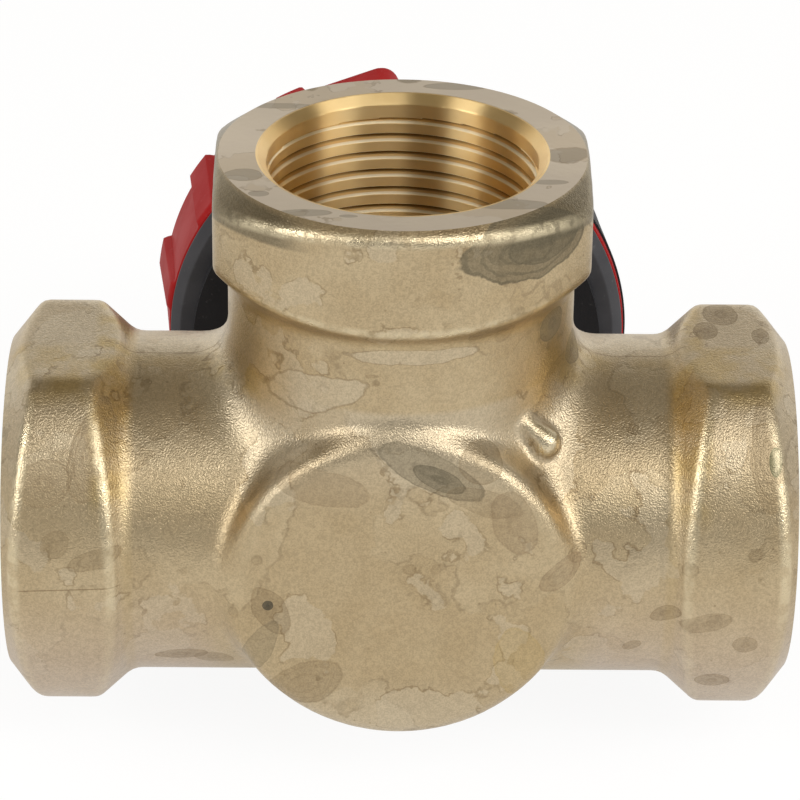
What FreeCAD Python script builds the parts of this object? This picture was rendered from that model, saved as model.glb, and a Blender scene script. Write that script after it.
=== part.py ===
# Three-way rotary mixing valve, brass, with a 90 degree hand knob.
#
# Frame: origin where the three port axes cross. +X and -X run out of the two
# through ports, +Z out of the branch port, +Y along the stem towards the knob.
# Lengths are millimetres, angles degrees.
import FreeCAD, Part
import math
import os

import Sketcher

doc = FreeCAD.newDocument("mixing_valve")

# ---------------------------------------------------------------- sizes ----
SIZES = [
    # forged body
    ("port_reach", 36.0),            # port axis crossing to each port face
    ("neck_radius", 15.8),
    ("branch_neck_radius", 15.6),
    ("neck_blend", 2.8),             # blend between the crossing necks
    ("boss_radius", 16.3),
    ("boss_reach", 17.6),            # round boss opposite the stem
    ("boss_rounding", 2.8),
    ("chamber_outer_radius", 15.5),
    # wrench collars
    ("collar_flat", 17.2),           # axis to wrench flat
    ("collar_front", 17.0),          # axis to the bowed sides
    ("collar_bow_radius", 25.0),
    ("collar_corner_radius", 19.3),
    ("mouth_radius", 16.1),
    ("mouth_slope", 2.4),            # length of the sloped end of a collar
    ("shoulder_root", 24.7),
    ("shoulder_top", 28.3),
    # waterways
    ("thread_radius", 13.22),        # root of the pipe thread
    ("thread_depth", 14.5),
    ("mouth_chamfer", 0.2),
    ("waterway_radius", 9.5),
    ("chamber_radius", 12.5),
    ("floor_thickness", 4.6),
    # flange and cover on the stem side
    ("flange_reach", 22.0),
    ("flange_thickness", 5.0),
    ("flange_half", 15.6),
    ("flange_corner", 4.0),
    ("screw_offset", 11.5),          # screws at the corners of a square
    ("screw_radius", 2.0),
    ("screw_hole_depth", 9.0),
    ("screw_pillar_radius", 3.6),    # pillars behind the flange
    ("screw_pillar_length", 11.5),
    ("screw_head_radius", 3.4),
    ("screw_head_height", 3.2),
    ("screw_socket_radius", 1.5),
    ("cover_thickness", 4.0),
    ("cover_edge_gap", 0.2),
    ("cover_barrel_radius", 11.8),
    ("cover_barrel_height", 5.0),
    ("cover_neck_radius", 9.0),
    ("cover_neck_height", 1.6),
    ("cover_plug_depth", 4.9),       # plug that enters the chamber
    ("plug_gap", 0.08),
    ("plug_groove_radius", 10.9),
    ("plug_groove_width", 1.9),
    ("plug_groove_lip", 1.2),
    ("cover_ring_section", 0.75),
    ("fit_gap", 0.02),               # pressed or seated round fits
    ("running_gap", 0.05),           # stem turning in its bush
    # bush and stem
    ("bush_radius", 6.5),
    ("bush_groove_radius", 5.75),
    ("bush_groove_width", 1.0),
    ("bush_ring_section", 0.35),
    ("stem_radius", 5.0),
    ("stem_foot_radius", 4.0),
    ("stem_head_radius", 4.2),
    ("stem_head_flat", 3.2),
    ("stem_head_height", 11.5),
    ("stem_groove_radius", 4.1),
    ("stem_groove_width", 1.2),
    ("stem_ring_section", 0.43),
    ("lower_ring_rise", 1.5),        # ring heights above the flange face
    ("upper_ring_rise", 5.5),
    ("clip_groove_radius", 4.3),
    ("clip_radius", 6.2),
    ("clip_thickness", 0.8),
    # rotor
    ("rotor_gap", 0.2),
    ("rotor_wall", 3.0),
    ("rotor_angle", 100.0),
    ("rotor_centre_angle", 45.0),
    ("rotor_disc_thickness", 3.5),
    ("rotor_hub_radius", 6.4),
    ("rotor_hub_height", 5.0),
    ("rotor_pin_radius", 1.0),
    ("washer_thickness", 1.0),
    ("washer_outer_radius", 11.0),
    ("seat_gap", 0.05),              # axial gap between stacked faces
    # dial plate and stop
    ("dial_radius", 20.5),
    ("dial_thickness", 1.4),
    ("stop_pin_radius", 1.1),
    ("stop_pin_offset", 10.4),
    ("stop_pin_depth", 3.0),
    ("stop_pin_rise", 4.5),
    ("stop_collar_radius", 13.0),
    ("stop_free_angle", 1.0),        # left over at each end of the travel
    ("travel_angle", 90.0),
    # knob
    ("knob_gap", 0.6),               # dial plate to the knob rim
    ("knob_radius", 23.3),
    ("knob_taper", 1.1),
    ("knob_height", 17.0),
    ("knob_wall", 3.0),
    ("knob_front_wall", 3.4),
    ("knob_front_rounding", 1.6),
    ("rim_height", 1.3),
    ("rim_step", 0.4),               # rim, smaller than the knob
    ("rim_bevel", 1.0),
    ("rim_lip", 0.7),                # rim, reaching inside the knob's wall
    ("band_height", 1.0),
    ("band_step", 0.8),              # red band, smaller than the knob
    ("crescent_height", 9.4),
    ("crescent_wall", 0.9),
    ("crescent_flare", 1.4),
    ("crescent_start_angle", 88.0),
    ("crescent_end_angle", 208.0),
    ("tab_rise", 0.75),
    ("tab_angle", 9.0),
    ("tab_pitch_angle", 28.0),
    ("tab_first_angle", 116.0),
    ("tab_rounding", 0.5),
    ("pointer_rise", 0.45),
    ("pointer_shift", 2.6),          # off the knob's axis, so that the lobe swells
    ("pointer_lag", 7.0),            # turns the shifted lobe back over the crescent
    ("pointer_angle", 22.0),
    ("pointer_rounding", 1.0),
    ("knob_hub_radius", 8.4),
    ("insert_radius", 6.4),
    ("insert_height", 9.0),
    ("cap_radius", 6.0),
    ("cap_thickness", 1.2),
    ("knob_screw_radius", 1.6),
    ("knob_screw_length", 9.0),
    ("knob_screw_head_radius", 3.1),
    ("knob_screw_head_height", 1.4),
    ("spring_washer_thickness", 0.5),
]

sheet = doc.addObject("Spreadsheet::Sheet", "sizes")
for row, (alias, value) in enumerate(SIZES, start=1):
    sheet.set("A%d" % row, alias)
    sheet.set("B%d" % row, str(value))
    sheet.setAlias("B%d" % row, alias)
doc.recompute()

WORDS = sorted((alias for alias, _ in SIZES), key=len, reverse=True)


def linked(text):
    """Expression text whose plain aliases point at the sheet."""
    out = []
    for word in text.replace("(", " ( ").replace(")", " ) ").split():
        out.append("sizes." + word if word in WORDS else word)
    return " ".join(out)


def number(text):
    """Present value of an expression written with the sheet's aliases."""
    return float(sheet.evalExpression(linked(text)))


# ------------------------------------------------------- shape helpers ----
# The local axis of a primitive is turned from Z onto the axis named.
TURN = {
    "+Z": FreeCAD.Rotation(),
    "+X": FreeCAD.Rotation(FreeCAD.Vector(0, 1, 0), 90),
    "-X": FreeCAD.Rotation(FreeCAD.Vector(0, 1, 0), -90),
    "+Y": FreeCAD.Rotation(FreeCAD.Vector(1, 0, 0), -90),
}


def seat(shape, axis, start, across=("0", "0"), spin=0.0):
    """Stand a primitive on an axis at a height, with two offsets across it."""
    turn = TURN[axis]
    if axis == "+Y" and spin:
        turn = FreeCAD.Rotation(FreeCAD.Vector(0, 1, 0), -spin) * turn
    shape.Placement = FreeCAD.Placement(FreeCAD.Vector(), turn)
    along = {"+Z": ("z", start), "+X": ("x", start), "-X": ("x", "-1 * (" + start + ")"),
             "+Y": ("y", start)}[axis]
    shape.setExpression("Placement.Base." + along[0], linked(along[1]))
    others = [letter for letter in "xyz" if letter != along[0]]
    for letter, offset in zip(others, across):
        shape.setExpression("Placement.Base." + letter, linked(offset))
    return shape


def cylinder(name, radius, start, end, axis="+Y", across=("0", "0"), spin=0.0, sweep=None):
    """Round bar from one height to another along an axis."""
    shape = doc.addObject("Part::Cylinder", name)
    shape.setExpression("Radius", linked(radius))
    shape.setExpression("Height", linked("( " + end + " ) - ( " + start + " )"))
    if sweep:
        shape.setExpression("Angle", linked(sweep))
    return seat(shape, axis, start, across, spin)


def cone(name, first, second, start, end, axis="+Y", spin=0.0, sweep=None,
         across=("0", "0")):
    """Tapered bar, its first radius at the start and its second at the end."""
    shape = doc.addObject("Part::Cone", name)
    shape.setExpression("Radius1", linked(first))
    shape.setExpression("Radius2", linked(second))
    shape.setExpression("Height", linked("( " + end + " ) - ( " + start + " )"))
    if sweep:
        shape.setExpression("Angle", linked(sweep))
    return seat(shape, axis, start, across, spin)


def ring(name, centre_radius, section, height):
    """Round cord ring about the stem axis."""
    shape = doc.addObject("Part::Torus", name)
    shape.setExpression("Radius1", linked(centre_radius))
    shape.setExpression("Radius2", linked(section))
    return seat(shape, "+Y", height)


def block(name, x_span, y_span, z_span):
    """Square-edged block between two limits on each axis."""
    shape = doc.addObject("Part::Box", name)
    for size, letter, span in (("Length", "x", x_span), ("Width", "y", y_span),
                               ("Height", "z", z_span)):
        shape.setExpression(size, linked("( " + span[1] + " ) - ( " + span[0] + " )"))
        shape.setExpression("Placement.Base." + letter, linked(span[0]))
    return shape


def fuse(name, shapes):
    joined = doc.addObject("Part::MultiFuse", name)
    joined.Shapes = shapes
    joined.Refine = True
    return joined


def common(name, shapes):
    shared = doc.addObject("Part::MultiCommon", name)
    shared.Shapes = shapes
    shared.Refine = True
    return shared


def cut(name, base, tools):
    tool = tools[0]
    if len(tools) > 1:
        tool = fuse(name + "_tools", tools)
    result = doc.addObject("Part::Cut", name)
    result.Base = base
    result.Tool = tool
    result.Refine = True
    return result


def rounded(name, base, radius, wanted):
    """Fillet the edges of a shape that the test picks out."""
    doc.recompute()
    soft = doc.addObject("Part::Fillet", name)
    soft.Base = base
    size = number(radius)
    soft.Edges = [(index, size, size) for index, edge in enumerate(base.Shape.Edges, start=1)
                  if wanted(edge, base.Shape)]
    return soft


def revolved(name, corners):
    """Turned piece about the stem axis, from (radius, height) corners."""
    body = doc.addObject("PartDesign::Body", name)
    plane = [item for item in body.Origin.OriginFeatures if item.Role == "XY_Plane"][0]
    sketch = body.newObject("Sketcher::SketchObject", name + "_section")
    sketch.AttachmentSupport = [(plane, "")]
    sketch.MapMode = "FlatFace"
    points = [FreeCAD.Vector(number(radius), number(height), 0) for radius, height in corners]
    count = len(points)
    for index in range(count):
        sketch.addGeometry(Part.LineSegment(points[index], points[(index + 1) % count]), False)
    for index in range(count):
        sketch.addConstraint(Sketcher.Constraint("Coincident", index, 2, (index + 1) % count, 1))
    for index, (radius, height) in enumerate(corners):
        for kind, text, size in (("DistanceX", radius, points[index].x),
                                 ("DistanceY", height, points[index].y)):
            label = "%s_%d" % ("radius" if kind == "DistanceX" else "height", index)
            where = sketch.addConstraint(Sketcher.Constraint(kind, -1, 1, index, 1, size))
            sketch.renameConstraint(where, label)
            sketch.setExpression("Constraints." + label, linked(text))
    turned = body.newObject("PartDesign::Revolution", name + "_turned")
    turned.Profile = sketch
    turned.ReferenceAxis = (sketch, ["V_Axis"])
    turned.Angle = 360.0
    body.Tip = turned
    return body


def is_line(edge):
    return isinstance(edge.Curve, Part.Line)


def is_circle_at(edge, axis, height):
    """True for a full or part circle square to an axis at a given height."""
    if not isinstance(edge.Curve, Part.Circle):
        return False
    along = "XYZ".index(axis)
    square = abs(edge.Curve.Axis[along]) > 0.99
    return square and abs(edge.Curve.Center[along] - height) < 1e-4


# ---------------------------------------------------------- valve body ----
PORTS = [("left", "-X"), ("right", "+X"), ("branch", "+Z")]


def collar(port, axis):
    """Wrench collar: two flats, two bowed sides, sloped at both ends."""
    low, high = "shoulder_root", "port_reach"
    blank = fuse(port + "_collar_blank", [
        cone(port + "_shoulder", "neck_radius", "collar_corner_radius",
             low, "shoulder_top", axis),
        cylinder(port + "_corners", "collar_corner_radius",
                 "shoulder_top", "port_reach - mouth_slope", axis),
        cone(port + "_slope", "collar_corner_radius", "mouth_radius",
             "port_reach - mouth_slope", high, axis)])
    flats = ("-1 * collar_flat", "collar_flat")
    wide = ("-2 * collar_front", "2 * collar_front")
    if axis == "+Z":
        band = block(port + "_flats", flats, wide, (low, high))
    elif axis == "+X":
        band = block(port + "_flats", (low, high), wide, flats)
    else:
        band = block(port + "_flats", ("-1 * port_reach", "-1 * shoulder_root"), wide, flats)
    shift = "collar_bow_radius - collar_front"
    bows = []
    for side, offset in (("front", shift), ("back", "-1 * ( " + shift + " )")):
        across = ("0", offset) if axis == "+Z" else (offset, "0")
        bows.append(cylinder(port + "_bow_" + side, "collar_bow_radius", low, high,
                             axis, across))
    return common(port + "_collar", [blank, band] + bows)


def crossing_edge(edge, shape):
    """Concave edge where the round of the branch meets the round of the through neck."""
    found = set()
    for face in shape.ancestorsOfType(edge, Part.Face):
        if isinstance(face.Surface, Part.Cylinder):
            axis = face.Surface.Axis
            found.add("XYZ"[[abs(part) > 0.9 for part in axis].index(True)])
    return found == {"X", "Z"}


through_neck = cylinder("through_neck", "neck_radius", "-1 * shoulder_root - 1",
                        "shoulder_root + 1", "+X")
branch_neck = cylinder("branch_neck", "branch_neck_radius", "0", "shoulder_root + 1", "+Z")
boss_bar = cylinder("boss_bar", "boss_radius", "-1 * boss_reach", "0")
chamber_wall = cylinder("chamber_wall", "chamber_outer_radius", "0", "flange_reach")
core = fuse("core", [through_neck, branch_neck, boss_bar, chamber_wall])
blended_core = rounded("blended_core", core, "neck_blend", crossing_edge)
rounded_core = rounded("rounded_core", blended_core, "boss_rounding",
                       lambda edge, shape: is_circle_at(edge, "Y", -number("boss_reach")))
flange_block = block("flange_block", ("-1 * flange_half", "flange_half"),
                     ("flange_reach - flange_thickness", "flange_reach"),
                     ("-1 * flange_half", "flange_half"))
flange = rounded("flange", flange_block, "flange_corner",
                 lambda edge, shape: is_line(edge) and edge.BoundBox.YLength > 1)

CORNERS = [(1, 1), (-1, 1), (-1, -1), (1, -1)]


def at_corners(name, radius, start, end):
    """One bar at each of the four cover screws."""
    return [cylinder("%s_%d" % (name, index), radius, start, end, "+Y",
                     ("%d * screw_offset" % x, "%d * screw_offset" % z))
            for index, (x, z) in enumerate(CORNERS, start=1)]


forging = fuse("forging", [rounded_core, flange]
               + at_corners("screw_pillar", "screw_pillar_radius",
                            "flange_reach - screw_pillar_length", "flange_reach")
               + [collar(port, axis) for port, axis in PORTS])
openings = [cylinder("chamber", "chamber_radius", "floor_thickness - boss_reach",
                     "flange_reach + 1")]
openings += at_corners("screw_hole", "screw_radius",
                       "flange_reach - screw_hole_depth", "flange_reach + 1")
for port, axis in PORTS:
    openings += [
        cylinder(port + "_waterway", "waterway_radius", "0", "port_reach", axis),
        cylinder(port + "_thread", "thread_radius", "port_reach - thread_depth",
                 "port_reach + 1", axis),
        cone(port + "_mouth", "thread_radius", "thread_radius + mouth_chamfer + mouth_chamfer",
             "port_reach - mouth_chamfer", "port_reach + mouth_chamfer", axis)]
valve_body = cut("valve_body", forging, openings)

# --------------------------------------------------- cover and its seat ----
seat_y = "flange_reach"
top_y = "flange_reach + cover_thickness"
barrel_y = top_y + " + cover_barrel_height"
neck_y = barrel_y + " + cover_neck_height"
plug_y = "flange_reach - cover_plug_depth"
groove_y = plug_y + " + plug_groove_lip"

plate_half = "flange_half - cover_edge_gap"
cover_block = block("cover_block", ("-1 * ( " + plate_half + " )", plate_half),
                    (seat_y, top_y), ("-1 * ( " + plate_half + " )", plate_half))
cover_plate = rounded("cover_plate", cover_block, "flange_corner",
                      lambda edge, shape: is_line(edge) and edge.BoundBox.YLength > 1)
cover_blank = fuse("cover_blank", [
    cover_plate,
    cylinder("cover_barrel", "cover_barrel_radius", top_y, barrel_y),
    cylinder("cover_neck", "cover_neck_radius", barrel_y, neck_y),
    cylinder("plug_low", "chamber_radius - plug_gap", plug_y, groove_y),
    cylinder("plug_core", "plug_groove_radius", groove_y, groove_y + " + plug_groove_width"),
    cylinder("plug_high", "chamber_radius - plug_gap", groove_y + " + plug_groove_width",
             seat_y)])
stop_across = ("0", "-1 * stop_pin_offset")
cover = cut("cover", cover_blank,
            [cylinder("cover_bore", "bush_radius + fit_gap", plug_y + " - 1", neck_y + " + 1"),
             cylinder("stop_hole", "stop_pin_radius + fit_gap", barrel_y + " - stop_pin_depth",
                      barrel_y + " + 1", "+Y", stop_across)]
            + at_corners("cover_hole", "screw_radius + fit_gap * 10", seat_y + " - 1",
                         top_y + " + 1"))
cover_o_ring = ring("cover_o_ring", "plug_groove_radius + cover_ring_section + fit_gap",
                    "cover_ring_section", groove_y + " + plug_groove_width / 2")


def screw(index, x, z):
    """Socket head cap screw: shank, head and a round-cornered socket."""
    across = ("%d * screw_offset" % x, "%d * screw_offset" % z)
    name = "screw_%d" % index
    solid = fuse(name + "_blank", [
        cylinder(name + "_shank", "screw_radius - fit_gap",
                 "flange_reach - screw_hole_depth + 1", top_y, "+Y", across),
        cylinder(name + "_head", "screw_head_radius", top_y, top_y + " + screw_head_height",
                 "+Y", across)])
    socket = cylinder(name + "_socket", "screw_socket_radius",
                      top_y + " + screw_head_height / 2", top_y + " + screw_head_height + 1",
                      "+Y", across)
    return cut(name, solid, [socket])


cover_screws = doc.addObject("Part::Compound", "cover_screws")
cover_screws.Links = [screw(index, x, z) for index, (x, z) in enumerate(CORNERS, start=1)]

# bush pressed into the cover, with its own ring
bush_low = plug_y
bush_high = neck_y + " - 0.1"
ring_y = top_y
bush_groove = [
    ("stem_radius + running_gap", bush_low), ("bush_radius", bush_low),
    ("bush_radius", ring_y + " - bush_groove_width / 2"),
    ("bush_groove_radius", ring_y + " - bush_groove_width / 2"),
    ("bush_groove_radius", ring_y + " + bush_groove_width / 2"),
    ("bush_radius", ring_y + " + bush_groove_width / 2"),
    ("bush_radius", bush_high), ("stem_radius + running_gap", bush_high)]
stem_bush = revolved("stem_bush", bush_groove)
bush_o_ring = ring("bush_o_ring", "bush_groove_radius + bush_ring_section + fit_gap",
                   "bush_ring_section", ring_y)

# dial plate resting on the cover barrel, and the stop pin through it
dial_low = barrel_y
dial_high = barrel_y + " + dial_thickness"
dial_plate = cut("dial_plate", cylinder("dial_disc", "dial_radius", dial_low, dial_high),
                 [cylinder("dial_bore", "cover_neck_radius + running_gap", dial_low + " - 1",
                           dial_high + " + 1"),
                  cylinder("dial_pin_hole", "stop_pin_radius + running_gap", dial_low + " - 1",
                           dial_high + " + 1", "+Y", stop_across)])
stop_pin = cylinder("stop_pin", "stop_pin_radius", barrel_y + " - stop_pin_depth",
                    dial_high + " + stop_pin_rise", "+Y", stop_across)

# ------------------------------------------------------- rotor and stem ----
washer_high = plug_y + " - seat_gap"
washer_low = washer_high + " - washer_thickness"
disc_high = washer_low + " - seat_gap"
disc_low = disc_high + " - rotor_disc_thickness"
hub_low = disc_low + " - rotor_hub_height"
rotor_radius = "chamber_radius - rotor_gap"
floor_y = "floor_thickness - boss_reach + rotor_gap"
shutter_spin = number("rotor_centre_angle") + number("rotor_angle") / 2

shutter = cut("rotor_shutter",
              cylinder("shutter_outer", rotor_radius, floor_y, disc_high, "+Y",
                       ("0", "0"), shutter_spin, "rotor_angle"),
              [cylinder("shutter_inner", "chamber_radius - rotor_gap - rotor_wall",
                        floor_y + " - 1", disc_high + " + 1")])
rotor_blank = fuse("rotor_blank", [
    shutter, cylinder("rotor_disc", rotor_radius, disc_low, disc_high),
    cylinder("rotor_hub", "rotor_hub_radius", hub_low, disc_low)])
pin_y = hub_low + " + rotor_hub_height / 2"
pin_hole = cylinder("rotor_pin_hole", "rotor_pin_radius + fit_gap",
                    "-1 * rotor_hub_radius - 1", "rotor_hub_radius + 1", "+X", (pin_y, "0"))
rotor = cut("rotor", rotor_blank,
            [cylinder("rotor_bore", "stem_foot_radius + fit_gap", hub_low + " - 1",
                      disc_high + " + 1"), pin_hole])
rotor_pin = cylinder("rotor_pin", "rotor_pin_radius", "-1 * rotor_hub_radius + 0.2",
                     "rotor_hub_radius - 0.2", "+X", (pin_y, "0"))
thrust_washer = cut("thrust_washer",
                    cylinder("washer_disc", "washer_outer_radius", washer_low, washer_high),
                    [cylinder("washer_bore", "stem_radius + 0.2", washer_low + " - 1",
                              washer_high + " + 1")])

lower_ring_y = "flange_reach + lower_ring_rise"
upper_ring_y = "flange_reach + upper_ring_rise"
clip_low = neck_y + " + seat_gap"
clip_high = clip_low + " + clip_thickness"
head_low = clip_high + " + clip_thickness"
head_high = head_low + " + stem_head_height"


def stem_groove(height):
    """Ring groove at one height of the stem, as profile corners."""
    low, high = height + " - stem_groove_width / 2", height + " + stem_groove_width / 2"
    return [("stem_radius", low), ("stem_groove_radius", low),
            ("stem_groove_radius", high), ("stem_radius", high)]


stem_turned = revolved("stem_turned", [
    ("0", hub_low), ("stem_foot_radius", hub_low), ("stem_foot_radius", disc_high),
    ("stem_radius", disc_high)] + stem_groove(lower_ring_y)
    + stem_groove(upper_ring_y) + [
    ("stem_radius", clip_low), ("clip_groove_radius", clip_low),
    ("clip_groove_radius", clip_high), ("stem_radius", clip_high),
    ("stem_radius", head_low), ("stem_head_radius", head_low),
    ("stem_head_radius", head_high), ("0", head_high)])
stem_hole = cylinder("stem_pin_hole", "rotor_pin_radius + fit_gap",
                     "-1 * stem_radius", "stem_radius", "+X", (pin_y, "0"))
flat_cut = block("stem_flat_cut", ("-1 * stem_radius", "stem_radius"),
                 (head_low, head_high + " + 1"), ("stem_head_flat", "stem_radius"))
stem_screw_hole = cylinder("stem_screw_hole", "knob_screw_radius + fit_gap",
                           head_high + " - knob_screw_length", head_high + " + 1")
stem = cut("stem", stem_turned, [stem_hole, flat_cut, stem_screw_hole])
stem_o_ring_lower = ring("stem_o_ring_lower", "stem_groove_radius + stem_ring_section + 0.01",
                         "stem_ring_section", lower_ring_y)
stem_o_ring_upper = ring("stem_o_ring_upper", "stem_groove_radius + stem_ring_section + 0.01",
                         "stem_ring_section", upper_ring_y)
retaining_clip = cut("retaining_clip",
                     cylinder("clip_disc", "clip_radius", clip_low + " + fit_gap",
                              clip_high + " - fit_gap"),
                     [cylinder("clip_bore", "clip_groove_radius + fit_gap", clip_low + " - 1",
                               clip_high + " + 1")])

# ------------------------------------------------------------------ knob ----
rim_low = dial_high + " + knob_gap"
rim_high = rim_low + " + rim_height"
band_high = rim_high + " + band_height"
front_y = rim_low + " + knob_height"
wall_inner = "knob_radius - knob_wall"
rim_inner = wall_inner + " - rim_lip"
rim_radius = "knob_radius - rim_step"
rim_edge = rim_high + " - rim_height / 4"

knob_rear_ring = revolved("knob_rear_ring", [
    (rim_inner, rim_low), (rim_radius + " - rim_bevel", rim_low),
    (rim_radius, rim_edge), (rim_radius, rim_high), (rim_inner, rim_high)])

band_radius = "knob_radius - band_step"
seat_radius = band_radius + " - crescent_wall"
flare_radius = band_radius + " + crescent_flare"
crescent_low = rim_high
crescent_high = band_high + " + crescent_height"
start_spin = number("crescent_end_angle")
crescent_sweep = "crescent_end_angle - crescent_start_angle"

crescent = cone("crescent", band_radius, flare_radius, crescent_low,
                crescent_high, "+Y", start_spin, crescent_sweep)


def outer_end(edge, shape):
    """Long edge at one side of a sector, away from the knob's axis."""
    middle = edge.CenterOfMass
    away = math.hypot(middle.x, middle.z) > number(wall_inner)
    return is_line(edge) and away and edge.BoundBox.YLength > 1


tabs = []
for index in range(3):
    middle = number("tab_first_angle") + index * number("tab_pitch_angle")
    sector = cone("tab_sector_%d" % index, band_radius + " + tab_rise",
                  flare_radius + " + tab_rise", crescent_low + " + 0.8",
                  crescent_high, "+Y", middle + number("tab_angle") / 2, "tab_angle")
    tabs.append(rounded("tab_%d" % index, sector, "tab_rounding", outer_end))
pointer_end = (number("crescent_start_angle") + number("pointer_lag")
               + number("pointer_angle"))
pointer_sector = cone("pointer_sector", band_radius + " + pointer_rise",
                      flare_radius + " + pointer_rise", crescent_low + " + 0.8",
                      crescent_high, "+Y", pointer_end, "pointer_angle",
                      ("pointer_shift", "0"))
pointer = rounded("pointer_lobe", pointer_sector, "pointer_rounding", outer_end)
band = cylinder("band", band_radius, rim_high, band_high)
pointer_ring = cut("pointer_ring", fuse("pointer_ring_blank", [band, crescent, pointer] + tabs),
                   [cylinder("pointer_ring_bore", seat_radius, rim_high + " - 1",
                             crescent_high + " + 1")])

skirt = cone("knob_skirt", "knob_radius", "knob_radius - knob_taper", band_high, front_y)
knob_outer = rounded("knob_outer", skirt, "knob_front_rounding",
                     lambda edge, shape: is_circle_at(edge, "Y", number(front_y)))
hollow = cylinder("knob_hollow", wall_inner, rim_low, front_y + " - knob_front_wall")
hub_bar = cylinder("knob_hub_bar", "knob_hub_radius", head_low, front_y)
seat_bar = cylinder("knob_seat_bar", seat_radius + " - fit_gap", rim_high,
                    crescent_high)
crescent_room = cone("crescent_room", band_radius + " + 4", flare_radius + " + 4",
                     rim_high, crescent_high + " + fit_gap", "+Y", start_spin + 0.1,
                     crescent_sweep + " + 0.2")
knob_shell = cut("knob_shell",
                 fuse("knob_mass", [cut("knob_outer_open", knob_outer, [crescent_room]),
                                    seat_bar]), [hollow])
stop_half_angle = math.degrees(math.asin(number("stop_pin_radius")
                                         / number("stop_pin_offset")))
stop_sweep = number("travel_angle") + 2 * (stop_half_angle + number("stop_free_angle"))
stop_slot = cylinder("stop_slot", "stop_collar_radius + 1", head_low + " - 1",
                     dial_high + " + stop_pin_rise + 0.3", "+Y", ("0", "0"),
                     stop_sweep / 2 - 90, "%.6f" % stop_sweep)
stop_slot_core = cylinder("stop_slot_core", "stop_pin_offset - stop_pin_radius - 0.3",
                          head_low + " - 2", front_y)
stop_collar = cut("stop_collar",
                  cylinder("stop_collar_bar", "stop_collar_radius", head_low,
                           front_y + " - knob_front_wall"),
                  [cut("stop_slot_arc", stop_slot, [stop_slot_core])])
insert_high = head_low + " + insert_height"
screw_seat = head_high + " + seat_gap"
cap_low = front_y + " - cap_thickness"
knob_body = cut("knob_body", fuse("knob_solid", [knob_shell, hub_bar, stop_collar]),
                [cylinder("insert_bore", "insert_radius + fit_gap", head_low + " - 1",
                          insert_high),
                 cylinder("head_bore", "stem_head_radius + running_gap", head_low,
                          screw_seat),
                 cylinder("screw_room", "cap_radius + fit_gap", screw_seat, front_y + " + 1")])
knob_insert = cut("knob_insert",
                  cylinder("insert_bar", "insert_radius", head_low, insert_high),
                  [cylinder("insert_stem_bore", "stem_head_radius + fit_gap",
                            head_low + " - 1", insert_high + " + 1")])
spring_washer = cut("spring_washer",
                    cylinder("spring_washer_disc", "knob_screw_head_radius", screw_seat,
                             screw_seat + " + spring_washer_thickness"),
                    [cylinder("spring_washer_bore", "knob_screw_radius + 0.15",
                              screw_seat + " - 1",
                              screw_seat + " + spring_washer_thickness + 1")])
screw_head_low = screw_seat + " + spring_washer_thickness + seat_gap"
knob_screw = fuse("knob_screw", [
    cylinder("knob_screw_shank", "knob_screw_radius",
             head_high + " - knob_screw_length + 1", screw_head_low),
    cylinder("knob_screw_head", "knob_screw_head_radius", screw_head_low,
             screw_head_low + " + knob_screw_head_height")])
knob_cap = cylinder("knob_cap", "cap_radius", cap_low, front_y)

# ---------------------------------------------------------------- output ----
NODES = [valve_body, cover, cover_o_ring, cover_screws, dial_plate, stem_bush, bush_o_ring,
         stop_pin, rotor, rotor_pin, thrust_washer, stem, stem_o_ring_lower,
         stem_o_ring_upper, retaining_clip, knob_rear_ring, pointer_ring, knob_body,
         knob_insert, spring_washer, knob_screw, knob_cap]

doc.recompute()
for item in doc.Objects:
    if "Invalid" in item.State or "Error" in item.State:
        raise RuntimeError("%s did not build: %s" % (item.Label, item.State))
for node in NODES:
    if node.Shape.isNull() or not node.Shape.isValid():
        raise RuntimeError("%s has no valid shape" % node.Label)

os.makedirs("parts", exist_ok=True)
for node in NODES:
    node.Shape.exportStep(os.path.join("parts", node.Label + ".step"))
    print("%-20s %9.1f mm3  solids %d" % (node.Label, node.Shape.Volume,
                                          len(node.Shape.Solids)))
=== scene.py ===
# Three-way rotary mixing valve: forged brass body, cover, rotor and a quarter-turn knob.
import math

import bmesh
import bpy
import numpy as np
from mathutils import Matrix, Vector


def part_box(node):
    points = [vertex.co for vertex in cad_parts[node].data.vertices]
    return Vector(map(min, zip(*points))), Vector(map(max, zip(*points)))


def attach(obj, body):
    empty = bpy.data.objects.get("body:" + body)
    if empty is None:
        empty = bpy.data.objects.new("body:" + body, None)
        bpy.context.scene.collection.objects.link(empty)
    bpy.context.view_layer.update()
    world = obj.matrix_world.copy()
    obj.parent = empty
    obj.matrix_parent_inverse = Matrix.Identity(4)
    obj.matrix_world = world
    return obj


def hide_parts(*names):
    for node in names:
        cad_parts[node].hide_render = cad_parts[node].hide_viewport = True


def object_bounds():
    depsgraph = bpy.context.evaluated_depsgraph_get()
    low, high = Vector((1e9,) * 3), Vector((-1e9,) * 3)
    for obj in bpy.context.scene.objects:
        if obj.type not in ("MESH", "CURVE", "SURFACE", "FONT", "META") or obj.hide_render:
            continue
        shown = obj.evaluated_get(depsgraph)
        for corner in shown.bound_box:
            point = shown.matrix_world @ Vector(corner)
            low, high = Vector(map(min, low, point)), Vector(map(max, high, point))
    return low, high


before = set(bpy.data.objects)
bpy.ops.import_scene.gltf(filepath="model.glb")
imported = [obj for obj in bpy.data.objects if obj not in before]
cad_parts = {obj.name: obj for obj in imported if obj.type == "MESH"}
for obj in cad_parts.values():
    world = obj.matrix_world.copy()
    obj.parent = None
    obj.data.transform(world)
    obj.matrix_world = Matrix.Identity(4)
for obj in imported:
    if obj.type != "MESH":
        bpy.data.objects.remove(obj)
cad_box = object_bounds()
MM = 0.001

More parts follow.
